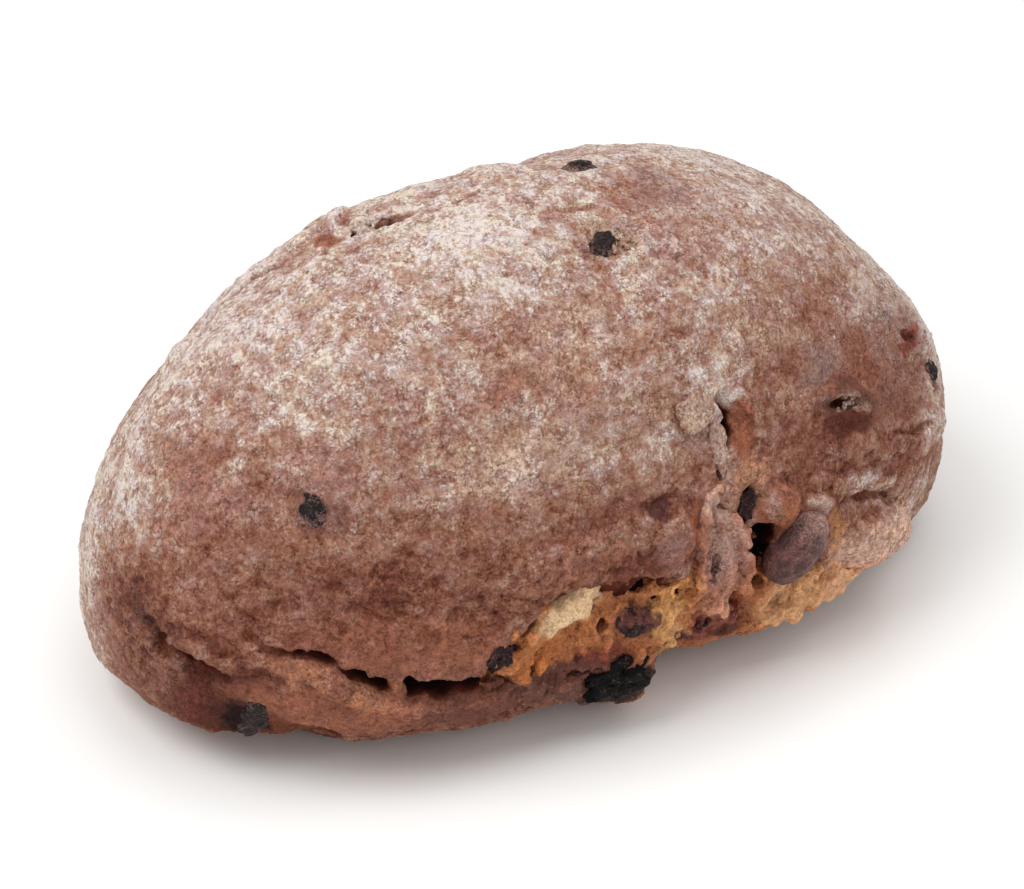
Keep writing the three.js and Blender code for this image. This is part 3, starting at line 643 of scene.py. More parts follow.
# How much flour lies on the crust: a ground that thickens from one height to another, and patches of
# more and less. Each patch: place, reach along and across it, how much flour it adds, or takes away
# where the crust was rubbed or scorched, and the spin of its long side if it is turned.
LEAST_FLOUR = 0.3
MOST_FLOUR = 0.78
THIN_BELOW = 45.0
THICK_ABOVE = 105.0
FLOUR = {
    "narrow end, far side": ([158, 8], (38, 70), 0.52),
    "narrow end, top": ([140, 44], (36, 26), 0.28),
    "narrow end, rim": ([178, 24], (16, 9), 0.25),
    "shoulder": ([-177, 55], (30, 18), 0.12),
    "shoulder smear": ([-151, 45], (15, 7), 0.24, 10),
    "crown": ([-140, 82], (20, 12), 0.16),
    "crown, near": ([-112, 70], (16, 12), 0.1, 30),
    "crown, far side": ([105, 68], (26, 16), 0.15),
    "beige smear": ([-109, 37.5], (15, 9), 0.26, -10),
    "flank": ([-95, 38], (16, 9), 0.16),
    "flank, over the torn edge": ([-88, 32], (10, 7), 0.14),
    "flank, over the split": ([-75, 41], (13, 10), 0.22),
    "broad end, far side": ([-16, 20], (50, 60), 0.55),
    "lip": ([-50, -2], (28, 20), 0.55, -20),
    "under the split": ([-76, 26], (5, 4), 0.2),
    "front, over the burst": ([-104, 27], (14, 6), 0.1),
    "broad shoulder": ([-38, 55], (18, 10), 0.12),
    "far side, top": ([22, 56], (50, 26), 0.2),
    "shingle, lower part": ([-86, 15.5], (5, 4), 0.3),
    "shingle, core": ([-86, 19.5], (4, 3.4), 0.12),
    "fleck, crown": ([-26, 64], (5, 3.4), 0.25),
    "fleck, far crown": ([-11, 58], (5, 3.4), 0.2),
    "fleck, middle": ([-99, 57], (3, 2), 0.1),
    "middle, upper": ([-112, 60], (16, 9), -0.24),
    "crown, near edge": ([-112, 73], (12, 7), -0.04),
    "under the crown crater": ([-84, 63.5], (10, 7), -0.16),
    "shoulder, near edge": ([-159, 59.5], (9, 7), -0.16),
    "over the split, far": ([-63, 39], (12, 8), -0.24),
    "flank, over the split, low": ([-86.5, 45], (8, 9), 0.16),
    "flank, by the split": ([-85, 36], (7, 8), 0.24),
    "flank, over the burst": ([-120, 35], (8, 6), 0.2),
    "broad crown": ([-34, 50], (9, 7), 0.1),
    "narrow end corner": ([-169, 19], (9, 7), -0.1),
    "seam bank": ([137, 71], (11, 7), -0.14),
    "crown, by the crater": ([-60, 79], (8, 6), -0.12),
    "slope under the crater": ([-77, 54], (12, 9), -0.2),
    "broad end, upper": ([-40, 37], (14, 12), 0.22),
    "broad end, right": ([-43, 14], (11, 12), 0.3),
    "fold over the lip": ([-57, 14], (16, 8), 0.34, -24),
    "cap over the nut": ([-66.4, 16], (6, 5), 0.35),
    "narrow end, front": ([-152, 37], (9, 7), -0.12),
    "front, narrow": ([-142, 29], (8, 6), -0.1),
    "foot corner": ([-146, 1], (16, 12), -0.3),
    "front, middle": ([-113, 24], (9, 6), -0.12),
    "fleck, flank": ([-88.5, 44], (3.4, 2), 0.25),
    "fleck, broad end": ([-51, 21.5], (4, 3), 0.35),
    "fleck, narrow end": ([-160, 37], (3, 2.4), 0.35),
    "crater, rubbed": ([-71, 72], (8, 6), -0.3),
    "crown, rubbed": ([-20, 75], (18, 10), -0.25),
    "broad crown, rubbed": ([-48, 65], (18, 10), -0.12),
    "middle, rubbed": ([-101, 50], (9, 9), -0.15),
    "middle, smudge": ([-130, 50], (7, 3.4), -0.2, 30),
    "narrow end, rubbed": ([-170, 37], (12, 5), -0.22, 8),
    "narrow end, low": ([-175, 12], (16, 14), -0.16),
    "front, rubbed": ([-127, 22], (22, 11), -0.16),
    "front, by the burst": ([-101, 26], (10, 6), -0.12),
    "round the flank raisin": ([-138, 33], (9, 8), -0.12),
    "over the torn edge": ([-87.5, 25.3], (4.4, 3.4), -0.5),
    "torn edge": ([-93, 16], (12, 2.6), -0.15),
    "under the puncture": ([-58.5, 25.6], (10, 6), -0.42, -14),
    "over the puncture": ([-56, 31], (10, 5), -0.32, -14),
    "rim of the puncture": ([-56.8, 28.8], (8.5, 3.2), 0.75, -22),
    "middle, over the split": ([-119, 45], (14, 6), -0.08, 10),
    "broad flank, rubbed": ([-47, 45], (16, 10), -0.2),
    "right of the split": ([-72.5, 32.5], (5, 9), -0.2),
    "right of the split, far": ([-65, 27], (12, 9), -0.15),
    "foot, narrow end": ([-145, -8], (16, 16), -0.2),
    "narrow end crack": ([-155, 9], (12, 5), -0.12),
    "crack bank": ([-110, 0], (8, 8), -0.1),
    "broad end tear": ([-35.5, 28.5], (7, 3.4), -0.6, -30),
    "seam, red": ([138.5, 64.5], (5.4, 3), -0.45, 40),
    "back, smear": ([74, 24], (26, 10), 0.34, 24),
    "back, upper smear": ([46, 44], (26, 10), 0.24, -10),
    "back, rubbed": ([125, 28], (30, 16), -0.2, 20),
    "back, low": ([85, 8], (40, 14), -0.1),
}
# Hues in the crust, from rosy to red-brown and beige: place, reach, colour, strength and spin.
CRUST_TINTS = {
    "narrow end, lower": ([-168, 6], (26, 22), "#76554d", 0.35),
    "foot, narrow end": ([-147, 0], (20, 15), "#6b3b31", 0.75),
    "broad side": ([-46, 40], (46, 38), "#8e6256", 0.3),
    "broad end": ([-42, 28], (24, 18), "#7d5145", 0.5),
    "broad crown": ([-45, 66], (26, 13), "#9a7167", 0.35),
    "beige, middle": ([-100, 54], (26, 13), "#b39280", 0.35),
    "beige smear": ([-109, 38], (20, 12), "#bfa18c", 0.45, -10),
    "flank, brown": ([-90, 42], (18, 9), "#9e7c6b", 0.5),
    "middle, red": ([-111, 50], (10, 6), "#8f5e50", 0.6, 20),
    "crown, rosy": ([-40, 74], (18, 9), "#9c6c61", 0.35, 10),
    "broad side, red": ([-50, 33], (11, 8), "#86523f", 0.5),
    "front, grey": ([-137, 25], (16, 6), "#8c7064", 0.16, 20),
    "narrow end, rosy": ([-160, 30], (16, 8), "#9c7067", 0.45, 20),
    "middle, red fleck": ([-96, 47], (5, 3), "#8f5e50", 0.6),
    "broad side, beige": ([-62, 44], (15, 7), "#a98a76", 0.4),
    "broad side, grey": ([-57, 37], (12, 6), "#8a716c", 0.6),
    "narrow end streak": ([-172, 33.5], (14, 6), "#966a5a", 0.7, 8),
    "narrow end spot": ([-172, 24.5], (8, 4), "#9b6c5b", 0.6, -20),
    "shoulder, near": ([-141, 41], (14, 6), "#9c7064", 0.6, -15),
    "front, low": ([-125, 12], (34, 9), "#9b614d", 0.5),
    "crown fleck": ([-70, 82], (5, 4), "#a5776b", 0.7),
    "crown stain": ([-15, 71], (12, 8), "#8b6a66", 0.5),
    "narrow pit": ([-152, 5.5], (9, 5), "#5c332c", 0.95, -20),
    "narrow end groove": ([-163, 9.5], (10, 3), "#5e4038", 0.8, -20),
    "round the corner raisin": ([-140, -7], (10, 14), "#70402f", 0.8),
    "dark by the corner raisin": ([-146, -8], (9, 20), "#573229", 0.7, -10),
    "corner raisin, upper end": ([-142.8, -1.5], (5, 8), "#2b1b1d", 0.9, -14),
    "corner raisin, lower end": ([-145, -14], (5.4, 11), "#2b1b1d", 1.0, -14),
    "pale fleck by the corner raisin": ([-141.4, 1.6], (2, 2), "#8d6a5e", 1.0),
    "gap by the nut": ([-65, 8.5], (4, 11), "#ad7a55", 0.75),
    "round the flank raisin": ([-139.5, 33.5], (8, 7), "#7a5a55", 0.5),
    "round the crown raisin": ([-66, 72], (9, 6), "#9a8370", 0.5),
    "rim of the crown crater": ([-77, 73], (5, 5), "#8f6a5c", 0.6),
    "over the torn edge": ([-87.5, 25], (5, 4), "#5e3a35", 1.0),
    "puncture": ([-56.8, 28.4], (12, 8), "#6f483e", 0.9, -14),
    "puncture, under": ([-58, 26], (9, 5), "#61352c", 0.9, -14),
    "rim of the puncture": ([-56.8, 28.8], (8.5, 3.2), "#a08170", 1.0, -22),
    "foot roll": ([-129, 1], (32, 9), "#95604d", 0.9, -10),
    "lower lip, narrow": ([-136, 8.2], (10, 2.6), "#a97359", 0.85, -14),
    "lower lip, middle": ([-127, 3.6], (9, 2.8), "#b2795d", 0.85, -24),
    "lower lip, burst end": ([-116, -1], (12, 4), "#a87058", 0.9),
    "foot roll, burst end": ([-112, -8], (22, 9), "#764d41", 0.9),
    "crack bank": ([-119, 8.5], (24, 6), "#95614f", 0.8),
    "blister": ([-72.3, 18], (8, 8), "#975f48", 1.0),
    "right of the split": ([-73, 32.8], (5, 9), "#985f4a", 1.0),
    "under the split": ([-75, 25.5], (7, 6), "#ab7b62", 0.8),
    "seam, red": ([138.5, 64.5], (6, 3.6), "#8f5c4b", 0.9, 40),
    "broad end tear": ([-35.5, 28.5], (7, 4), "#80493c", 0.95, -30),
    "lip": ([-56, 0], (26, 15), "#cba693", 0.85, -24),
    "lip, lower": ([-58, -12], (16, 8), "#cb9b80", 0.85, -24),
    "torn edge": ([-101, 19], (22, 4.4), "#9e6b58", 0.75),
    "torn edge, middle": ([-90, 15.5], (11, 3), "#7d4b3e", 0.8),
    "shingle": ([-86.5, 18.6], (6, 8.4), "#93685c", 0.8),
    "shingle, core": ([-86.5, 19.5], (4, 4.4), "#80635b", 0.8),
    "right of the shingle": ([-83, 20], (2, 8), "#9a5a44", 0.9),
    "back": ([85, 16], (24, 12), "#77574e", 0.35),
    "back, red": ([120, 30], (22, 14), "#8a5a4c", 0.6, 20),
    "back, broad": ([40, 35], (20, 12), "#8a5a4c", 0.5),
}
# Where the crust is scaly or crumbly rather than smooth: place, reach, how much, and spin.
SCALY = {
    "narrow end rim": ([-166, 9], (22, 14), 0.7),
    "narrow pit": ([-152, 7], (10, 6), 0.8),
    "over the torn edge": ([-101, 19], (24, 8), 0.9),
    "right of the split": ([-71, 31], (8, 9), 0.5),
    "broad end": ([-51, 17], (22, 9), 0.6),
    "broad end tear": ([-34, 24], (9, 8), 0.8),
    "crown crater": ([-66, 72], (9, 7), 0.7),
    "seam": ([141, 69], (16, 6), 0.7, 60),
    "foot": ([-104, -22], (34, 8), 0.9),
    "foot roll": ([-127, 1], (28, 9), 0.5, -10),
    "foot, narrow end": ([-150, -18], (24, 8), 0.5),
    "back crack": ([105, 5], (30, 9), 0.8),
}
# Colours of the torn crumb, in the same way as the crust's, with painted shade in its holes. The later ones
# lie over the earlier.
CRUMB_TINTS = {
    "upper edge": ([-100, 17], (26, 5), "#b56c46", 0.9),
    "gold, middle": ([-87, 6], (8, 9), "#dda468", 0.95),
    "gold, under the shingle": ([-85, 10], (8, 4.4), "#de9a5c", 0.95),
    "red, middle": ([-79, -6], (11, 10), "#8c4836", 0.9),
    "gold, middle foot": ([-86, -6], (6, 7), "#d3a06c", 0.9),
    "gold by the nut": ([-69, -6], (15, 12), "#d79f70", 1.0),
    "fold by the nut": ([-72, -2], (4, 3.4), "#8f5a42", 0.7),
    "gold under the lip": ([-58, -14], (16, 14), "#e0a980", 1.0),
    "gap by the lip": ([-65.5, 9], (6, 12), "#d49a5c", 1.0),
    "orange ring": ([-102.5, 11], (15, 10), "#c47b45", 1.0, 22),
    "orange band": ([-106, 3], (11, 6), "#b96d38", 1.0, 20),
    "red by the burnt raisin": ([-97.5, -0.5], (13, 8), "#8a3f29", 0.95, 10),
    "cream patch": ([-100.8, 12.3], (12.4, 6.6), "#dcb88f", 1.0, 22),
    "red band": ([-101, -6], (19, 7), "#6a3022", 1.0, 8),
    "foot": ([-103, -16], (28, 11), "#704336", 1.0),
    "purple": ([-91.5, 6.5], (8, 5), "#562a28", 0.95, -28),
    # Painted shade in the pore by the cream patch.
    "small dark spot": ([-96.5, 7.5], (2.8, 2.8), "#2b1518", 1.0),
    "upper, middle": ([-91, 13.5], (9, 2.2), "#652d20", 0.95),
    "streak": ([-82, -8], (7, 4), "#5a2826", 0.95, 22),
    "streak, far": ([-77, -17], (6, 3.4), "#58251c", 0.9, 10),
    # Painted shade in the mouth beside the nut.
    "mouth": ([-76, 12], (4, 10), "#2d1410", 1.0),
    "dark left end": ([-110.6, -1], (8, 8), "#55291e", 0.95),
    "under the burnt raisin": ([-92, -23], (15, 9), "#2e1715", 1.0),
    "tongue": ([-80, 13.5], (9.4, 17), "#b07764", 1.0),
    "left flute, tip": ([-80.8, 25], (3.4, 3), "#b48370", 1.0),
    "tongue, left edge": ([-82, 19], (4.2, 17), "#996552", 0.95),
    # Painted shade in the throat under the mouth and in the slot of the tongue.
    "throat": ([-75.8, 6.5], (3, 7), "#42201a", 0.95),
    "tongue, slot": ([-81.2, 12], (1.7, 6), "#593532", 1.0),
    "tongue, top": ([-80.2, 22.8], (6.4, 5.4), "#c39a87", 1.0),
    "tongue, right edge": ([-76.6, 11], (1.6, 9), "#ac664e", 0.9),
    "droplets": ([-79.5, 3.5], (7, 3.8), "#d09576", 1.0),
    "droplet shade": ([-78, -2.5], (6, 2.4), "#6e3425", 0.9),
}
# Where flour lies on the crumb: place, reach and how much.
DUSTED = {
    "tongue": ([-80, 15], (9, 15), 0.6),
    "tongue, top": ([-79.7, 22.5], (5, 5), 0.5),
    "droplets": ([-79, 4], (6, 6), 0.3),
    "lower edge": ([-104, -18], (20, 6), 0.15),
}

# ---- materials ----------------------------------------------------------------------------------


NOISE_RANGE = (0.32, 0.68)  # nearly all of a noise lies in it


def per_mm(size):
    """The scale of a pattern whose features are that many millimetres across."""
    return 1 / (size * MM)


def add(tree, kind, inputs=None, stops=None, **settings):
    """Adds a shader node with its settings, and the values and links of its inputs."""
    made = tree.nodes.new("ShaderNode" + kind)
    for name, value in settings.items():
        setattr(made, name, value)
    for socket, value in (inputs or {}).items():
        if isinstance(value, bpy.types.NodeSocket):
            tree.links.new(value, made.inputs[socket])
        else:
            made.inputs[socket].default_value = value
    for i, (position, colour) in enumerate(stops or []):
        element = made.color_ramp.elements[i] if i < 2 else made.color_ramp.elements.new(position)
        element.position, element.color = position, linear(colour)
    return made


def new_material(name, **values):
    """A material whose shader has these values; values that stay the same all over are set here."""
    material = bpy.data.materials.new(name)
    material.use_nodes = True
    tree = material.node_tree
    shader = tree.nodes["Principled BSDF"]
    for socket, value in values.items():
        shader.inputs[socket.replace("_", " ")].default_value = value
    return material, tree, shader


def stored(tree, name, output="Fac"):
    return add(tree, "Attribute", attribute_name=name).outputs[output]


def ranged(tree, value, source, target):
    """Carries a value from one range over to another, and stops it at the ends."""
    inputs = {0: value, 1: source[0], 2: source[1], 3: target[0], 4: target[1]}
    return add(tree, "MapRange", inputs).outputs[0]


def ramped(tree, value, stops):
    return add(tree, "ValToRGB", {"Fac": value}, stops).outputs["Color"]


def noise_of(tree, size, detail=3, roughness=0.65):
    """A noise in the material, its features that many millimetres across, spread from 0 to 1."""
    place = add(tree, "TexCoord").outputs["Object"]
    inputs = {"Vector": place, "Scale": per_mm(size), "Detail": detail, "Roughness": roughness}
    made = add(tree, "TexNoise", inputs).outputs["Fac"]
    return ranged(tree, made, NOISE_RANGE, (0, 1))


def grains_of(tree, size):
    """Separate grains of that many millimetres, each of its own value from 0 to 1."""
    place = add(tree, "TexCoord").outputs["Object"]
    return add(tree, "TexVoronoi", {"Vector": place, "Scale": per_mm(size)}).outputs["Color"]


def lines_of(tree, size, width):
    """Thin crinkled lines, 1 along their middle, about so many millimetres apart."""
    wandering = add(tree, "Math", {0: noise_of(tree, size, 5, 0.7), 1: 0.5}, operation="SUBTRACT").outputs[0]
    off = add(tree, "Math", {0: wandering}, operation="ABSOLUTE").outputs[0]
    return step_up(tree, off, width, 0.0)


def mixed(tree, shares, start=0.0):
    """A sum of values, each with its weight."""
    total = start
    for value, weight in shares:
        total = add(tree, "Math", {0: value, 1: weight, 2: total}, operation="MULTIPLY_ADD").outputs[0]
    return total


def step_up(tree, value, low, high, most=1.0):
    """Rises smoothly from 0 to its most as the value goes from low to high."""
    inputs = {0: value, 1: low, 2: high, 4: most}
    return add(tree, "MapRange", inputs, interpolation_type="SMOOTHSTEP").outputs[0]


def over(tree, base, colour, amount, blend="MIX"):
    """One colour laid over another. Sockets 0, 6 and 7 of a colour mix are its amount and colours."""
    return add(tree, "Mix", {0: amount, 6: base, 7: colour}, data_type="RGBA", blend_type=blend).outputs[2]


def toned(tree, colour, value, contrast):
    """Makes a colour darker where the value is low and lighter where it is high."""
    return over(tree, colour, ranged(tree, value, (0, 1), (1 - contrast, 1 + contrast)), 1.0, "MULTIPLY")


def bumped(tree, shader, height, distance):
    bump = add(tree, "Bump", {"Height": height, "Distance": distance * MM, "Strength": 1.0})
    tree.links.new(bump.outputs[0], shader.inputs["Normal"])


def product(tree, one, other):
    return add(tree, "Math", {0: one, 1: other}, operation="MULTIPLY").outputs[0]


# Sizes in the crust, in millimetres. Rye flour is a tenth of a millimetre fine, too fine to show, so
# its grain is drawn as the small clumps that it forms.
GRAIN = 0.5
MEAL = 1.3
FLAKING = 2.8
CREVICE_SPACING = 2.2
CREVICE_WIDTH = 0.12  # as a share of the noise whose middle they follow
CLUMPS = 6
MOTTLE = 14
# The crust's colours from bare and scorched to thick flour. A ramp's two ends come first.
CRUST_COLOURS = [
    (0.0, "#3f231c"), (1.0, "#e6dad2"), (0.15, "#683a2e"), (0.3, "#865544"), (0.45, "#9d6e5c"),
    (0.6, "#ac8576"), (0.75, "#be9f91"), (0.88, "#cdb8ad"),
]
# And in a crack or a hole, from its rim inwards: toasted orange-brown at the rim, then painted shade that
# darkens to near black deeper in.
INNER_COLOURS_AND_SHADE = [(0.0, "#9a5a38"), (1.0, "#120a09"), (0.4, "#6a3020"), (0.65, "#2a130f")]
HUES = [(0.2, "#fbf8ff"), (0.8, "#fffbf1")]  # a breath of blue here and of yellow there


def floured_crust():
    """Rye crust, proved in a floured basket and baked: dry, matt and mealy. Scorched red-brown shows
    where it has little flour, then rosy beige, and greyish white where the flour is thick."""
    material, tree, shader = new_material(
        "Floured rye crust", Roughness=0.95, IOR=1.45, Specular_IOR_Level=0.12
    )
    grain = grains_of(tree, GRAIN)
    meal = noise_of(tree, MEAL, 3, 0.7)
    flakes = noise_of(tree, FLAKING, 3, 0.7)
    # Thin dark winding lines between the flakes: painted shade in the colour, and a dent in the bump.
    shaded_crevices = product(tree, lines_of(tree, CREVICE_SPACING, CREVICE_WIDTH), noise_of(tree, 3, 3))
    clumps = noise_of(tree, CLUMPS, 4)
    mottle = noise_of(tree, MOTTLE, 3)
    spread = ranged(tree, noise_of(tree, 7, 3), (0, 1), (0.6, 1.25))
    fine = mixed(tree, [(grain, 0.48), (meal, 0.42), (flakes, 0.24), (shaded_crevices, -0.3)], -0.485)
    grit = mixed(tree, [(product(tree, fine, spread), 0.85), (clumps, 0.16), (mottle, 0.1)], -0.13)
    grit = product(tree, grit, ranged(tree, stored(tree, "flour"), (0.2, 0.65), (0.5, 1.0)))
    flour = mixed(tree, [(stored(tree, "flour"), 1.0), (grit, 0.9)])
    colour = ramped(tree, flour, CRUST_COLOURS)
    broken = mixed(tree, [(stored(tree, "tinted"), 1.0), (meal, 0.25), (flakes, 0.35)], -0.3)
    shade = ranged(tree, grit, (-0.3, 0.3), (0.4, 1.75))
    stain = over(tree, stored(tree, "tint", "Color"), shade, 1.0, "MULTIPLY")
    colour = over(tree, colour, stain, step_up(tree, broken, 0.05, 1.0))
    colour = over(tree, colour, ramped(tree, noise_of(tree, 5, 4, 0.6), HUES), 1.0, "MULTIPLY")
    # Deep in cracks and holes the colour turns to painted shade.
    inside = stored(tree, "inside")
    opened = step_up(tree, mixed(tree, [(inside, 1.0), (meal, 0.12)]), 0.34, 0.56)
    colour = over(tree, colour, ramped(tree, inside, INNER_COLOURS_AND_SHADE), opened)
    tree.links.new(colour, shader.inputs["Base Color"])
    bumped(tree, shader, mixed(tree, [(grain, 0.35), (meal, 0.65), (shaded_crevices, -0.4)]), 0.5)
    return material


RIDGE_PAINTED_LIGHT = (1.38, 1.38, 1.34, 1)  # painted light: how much lighter the crumb is painted along its ridges


def torn_crumb_finish():
    """Moist rye crumb torn open in the oven: a little sheen and light let in, and dark red-brown where the
    heat reached it. Its ridges get painted light, its pits painted shade in dark red-brown, and its deep
    holes painted shade in near black."""
    material, tree, shader = new_material(
        "Torn rye crumb",
        Roughness=0.6,
        IOR=1.42,
        Subsurface_Weight=0.08,
        Subsurface_Radius=(1.0, 0.45, 0.2),
        Subsurface_Scale=1.0 * MM,
    )
    fine = noise_of(tree, 0.6, 3, 0.7)
    lumpy = noise_of(tree, 3, 4)
    raised = mixed(tree, [(stored(tree, "raised"), 1.0), (fine, 0.3), (lumpy, 0.4)], -0.35)
    # Painted shade in dark red-brown in the pits, and painted light along the ridges.
    pits, ridges = step_up(tree, raised, 0.42, 0.0, 0.75), step_up(tree, raised, 0.62, 1.1)
    colour = over(tree, stored(tree, "tint", "Color"), linear("#4a1f14"), pits)
    colour = over(tree, colour, RIDGE_PAINTED_LIGHT, ridges, "MULTIPLY")
    dusty = mixed(tree, [(stored(tree, "dusted"), 1.0), (fine, 0.6), (lumpy, 0.4)])
    colour = over(tree, colour, linear("#bb998c"), step_up(tree, dusty, 0.65, 1.3))
    # Painted shade: near black where the crumb lies deep under the crust.
    colour = over(tree, colour, linear("#1a0b09"), stored(tree, "deep_shade"))
    colour = toned(tree, colour, fine, 0.28)
    tree.links.new(colour, shader.inputs["Base Color"])
    bumped(tree, shader, mixed(tree, [(fine, 0.5), (lumpy, 0.5)]), 0.5)
    return material


def raisin_skin(name, flesh, sheen, roughness):
    """Sun-dried raisin, baked: near black and leathery, dulled by its bloom, with crust and flour
    creeping over its rim."""
    material, tree, shader = new_material(name, Roughness=roughness, IOR=1.46, Specular_IOR_Level=0.25)
    fine = noise_of(tree, 0.5, 2, 0.7)
    wide = noise_of(tree, 2)
    total = mixed(tree, [(fine, 0.4), (wide, 0.6)])
    colour = over(tree, linear(flesh), linear(sheen), step_up(tree, total, 0.3, 0.9, 0.8))
    dusty = mixed(tree, [(stored(tree, "dusted"), 1.0), (fine, 0.45), (wide, 0.5)])
    colour = over(tree, colour, linear("#84665c"), step_up(tree, dusty, 0.7, 1.5))
    colour = toned(tree, colour, fine, 0.3)
    tree.links.new(colour, shader.inputs["Base Color"])
    bumped(tree, shader, total, 0.4)
    return material


def nut_skin():
    """Hazelnut in its skin, baked: purple-brown and satin, dusted with flour on top."""
    material, tree, shader = new_material("Baked hazelnut skin", Roughness=0.6, IOR=1.47)
    fine = noise_of(tree, 0.5, 2, 0.7)
    wide = noise_of(tree, 3.5)
    skin = ramped(tree, wide, [(0.2, "#4a2b2b"), (0.8, "#7c4e47")])
    dusty = mixed(tree, [(stored(tree, "dusted"), 1.0), (fine, 0.5), (wide, 0.3)])
    colour = over(tree, skin, linear("#ab857a"), step_up(tree, dusty, 0.5, 1.7))
    colour = toned(tree, colour, fine, 0.36)
    tree.links.new(colour, shader.inputs["Base Color"])
    bumped(tree, shader, mixed(tree, [(fine, 0.5), (wide, 0.5)]), 0.5)
    return material


crust_finish = floured_crust()
crumb_finish = torn_crumb_finish()
raisin_finish = raisin_skin("Baked raisin skin", "#1b1113", "#423230", 0.65)
wet_finish = raisin_skin("Raisin skin stewed in the crumb", "#201013", "#4e2c2f", 0.5)
burnt_finish = raisin_skin("Burnt raisin skin", "#060404", "#140e0c", 0.8)
nut_finish = nut_skin()

# ---- the crust ----------------------------------------------------------------------------------

CRUST_DETAIL = 7  # subdivision of the sphere that the crust starts as
WHOLE_VOXEL = 0.7  # grain of the skin round what is fused, in millimetres
CUTTER_VOXEL = 0.5
CRUST_VOXEL = 0.6
MOST_TRIANGLES = 190000
IN_THE_BURST = ("nut", "raisin_foot", "raisin_crack", "raisin_burst", "raisin_burst_far", "raisin_blister")
DENT = 0.9  # how far the crust has sunk round a raisin
DENT_REACH = 2.1  # and how far from it, as a multiple of the raisin's half sizes
KNOBS = (3.2, 3, 9.0)  # the small knobs and dips of the baked skin: size, octaves and shift
# The layers of its unevenness: height, size, octaves and shift.
CRUST_SKIN = {
    "waves": (0.3, 10, 3, 0.0),
    "lumps": (0.12, 5, 3, 3.0),
    "knobs": (0.1, *KNOBS),
    "pits": (0.12, 1.2, 2, 14.0),
}
SCALES = 0.7  # height of the scales where the crust is scaly
SCALE_GRIT = 0.5
FLAKES = 0.12  # height of the fine flaking all over
SWIRL = ([-178, 28], (46, 40))  # place and reach of the creases that curve round the narrow end
SWIRL_HEIGHT = 0.5


def raisin_folds(shift):
    """A dried raisin's folds run along it."""

    def folded(unit):
        folds = ridged(unit, 0.9, 3, shift, (2.2, 1, 1))
        return 1 - 0.34 * folds + 0.07 * rough(unit, 0.5, 2, shift)

    return folded


def nut_form(unit):
    return 1 + 0.1 * np.maximum(0, unit[:, 0]) ** 3 + 0.05 * rough(unit, 0.7, 4, 5.0)


def slab():
    """All that lies under the flat base."""
    form = bmesh.new()
    bmesh.ops.create_cube(form, size=300, matrix=Matrix.Translation((0, 0, FLAT - 150)))
    return mesh_of(form, "slab")


def make_crust():
    body = ball("crust", CRUST_DETAIL)
    moved(body, crust(points_of(body)))
    added = [
        lump(*BLISTER, shape=craggy(1.0, 0.05)),
        lump(*KNOB, shape=craggy(2.0, 0.12)),
        lump(*LIP, shape=craggy(5.0, 0.06)),
        lump(*SHINGLE, shape=craggy(4.0, 0.08)),
    ]
    added += [spindle(*lip, ragging=TORN_RAGGING) for lip in TORN_LIPS]
    whole = fused(joined("crust", [body, *added]), WHOLE_VOXEL)
    cutters = [between(TORN_FOOT, TORN_TOP, BURST_DEPTH)]
    cutters += [spindle(*crack, ragging=CRACK_RAGGING) for crack in CRACKS.values()]
    cutters += [lump(at, size) for at, size in HOLLOWS.values()]
    opened = cut(whole, fused(joined("cutters", cutters), CUTTER_VOXEL))
    torn_bits = [lump(*BRIDGE, shape=craggy(8.0, 0.3)), lump(*CAP, shape=craggy(9.0, 0.25))]
    for line in FRINGES.values():
        torn_bits += fringe(*line)
    edged = fused(joined("edged", [opened, *torn_bits]), CRUST_VOXEL)
    mesh = fused(cut(edged, slab()), CRUST_VOXEL)

    points, out = points_of(mesh), points_of(mesh, "normal")
    scaly = np.clip(summed(ragged(points, 2, 6), SCALY), 0, 1)
    scales = evened(ridged(ragged(points, 1, 3), 6, 3, 6.0))
    flaky = evened(ridged(ragged(points, 0.8, 2.5), 3.4, 3, 21.0, (1.5, 1.5, 0.8)))
    swirled = patch(points, *SWIRL) * ridged(points, 2.2, 2, 31.0, (2, 1, 7))
    lift = layered(points, CRUST_SKIN) + FLAKES * flaky + SWIRL_HEIGHT * swirled
    lift += scaly * (SCALES * scales + SCALE_GRIT * rough(points, 2, 2, 4.0))
    for name, (at, size, _, spin) in FRUIT.items():
        if name not in IN_THE_BURST:
            lift -= DENT * patch(points, at, (DENT_REACH * size[0], DENT_REACH * size[1]), spin)
    shifted = points + out * lift[:, None]
    shifted[:, 2] = np.where(points[:, 2] < FLAT + 0.1, FLAT, np.maximum(shifted[:, 2], FLAT))
    mesh = thinned(moved(mesh, shifted), MOST_TRIANGLES)

    points = points_of(mesh)
    blurred = ragged(ragged(points, 2.4, 14), 1.1, 3)
    settled = np.clip((blurred[:, 2] - THIN_BELOW) / (THICK_ABOVE - THIN_BELOW), 0, 1)
    ground = LEAST_FLOUR + (MOST_FLOUR - LEAST_FLOUR) * settled
    # Proud bits get more flour and hollows less: painted light on the ridges and painted shade in the pits,
    # on top of the flour's own spread.
    proud = np.clip(standing(mesh, 10) / 0.3, -1.5, 1)
    level = ground + summed(blurred, FLOUR) + 0.05 * rough(points, *KNOBS)
    marked(mesh, "flour", level + (0.06 + 0.16 * np.clip(level, 0, 1)) * proud)
    tinted(mesh, blurred, CRUST_TINTS)
    # How deep each point lies under the crust; the crust's material paints shade from it in cracks and
    # holes.
    marked(mesh, "inside", depth_under_crust(points) / 6)
    return mesh


# ---- the torn crumb in the burst ----------------------------------------------------------------


CRUMB_VOXEL = 0.36
CRUMB_START_VOXEL = 0.7
CRUMB_CARVED_VOXEL = 0.5
CRUMB_CUTTER_VOXEL = 0.45
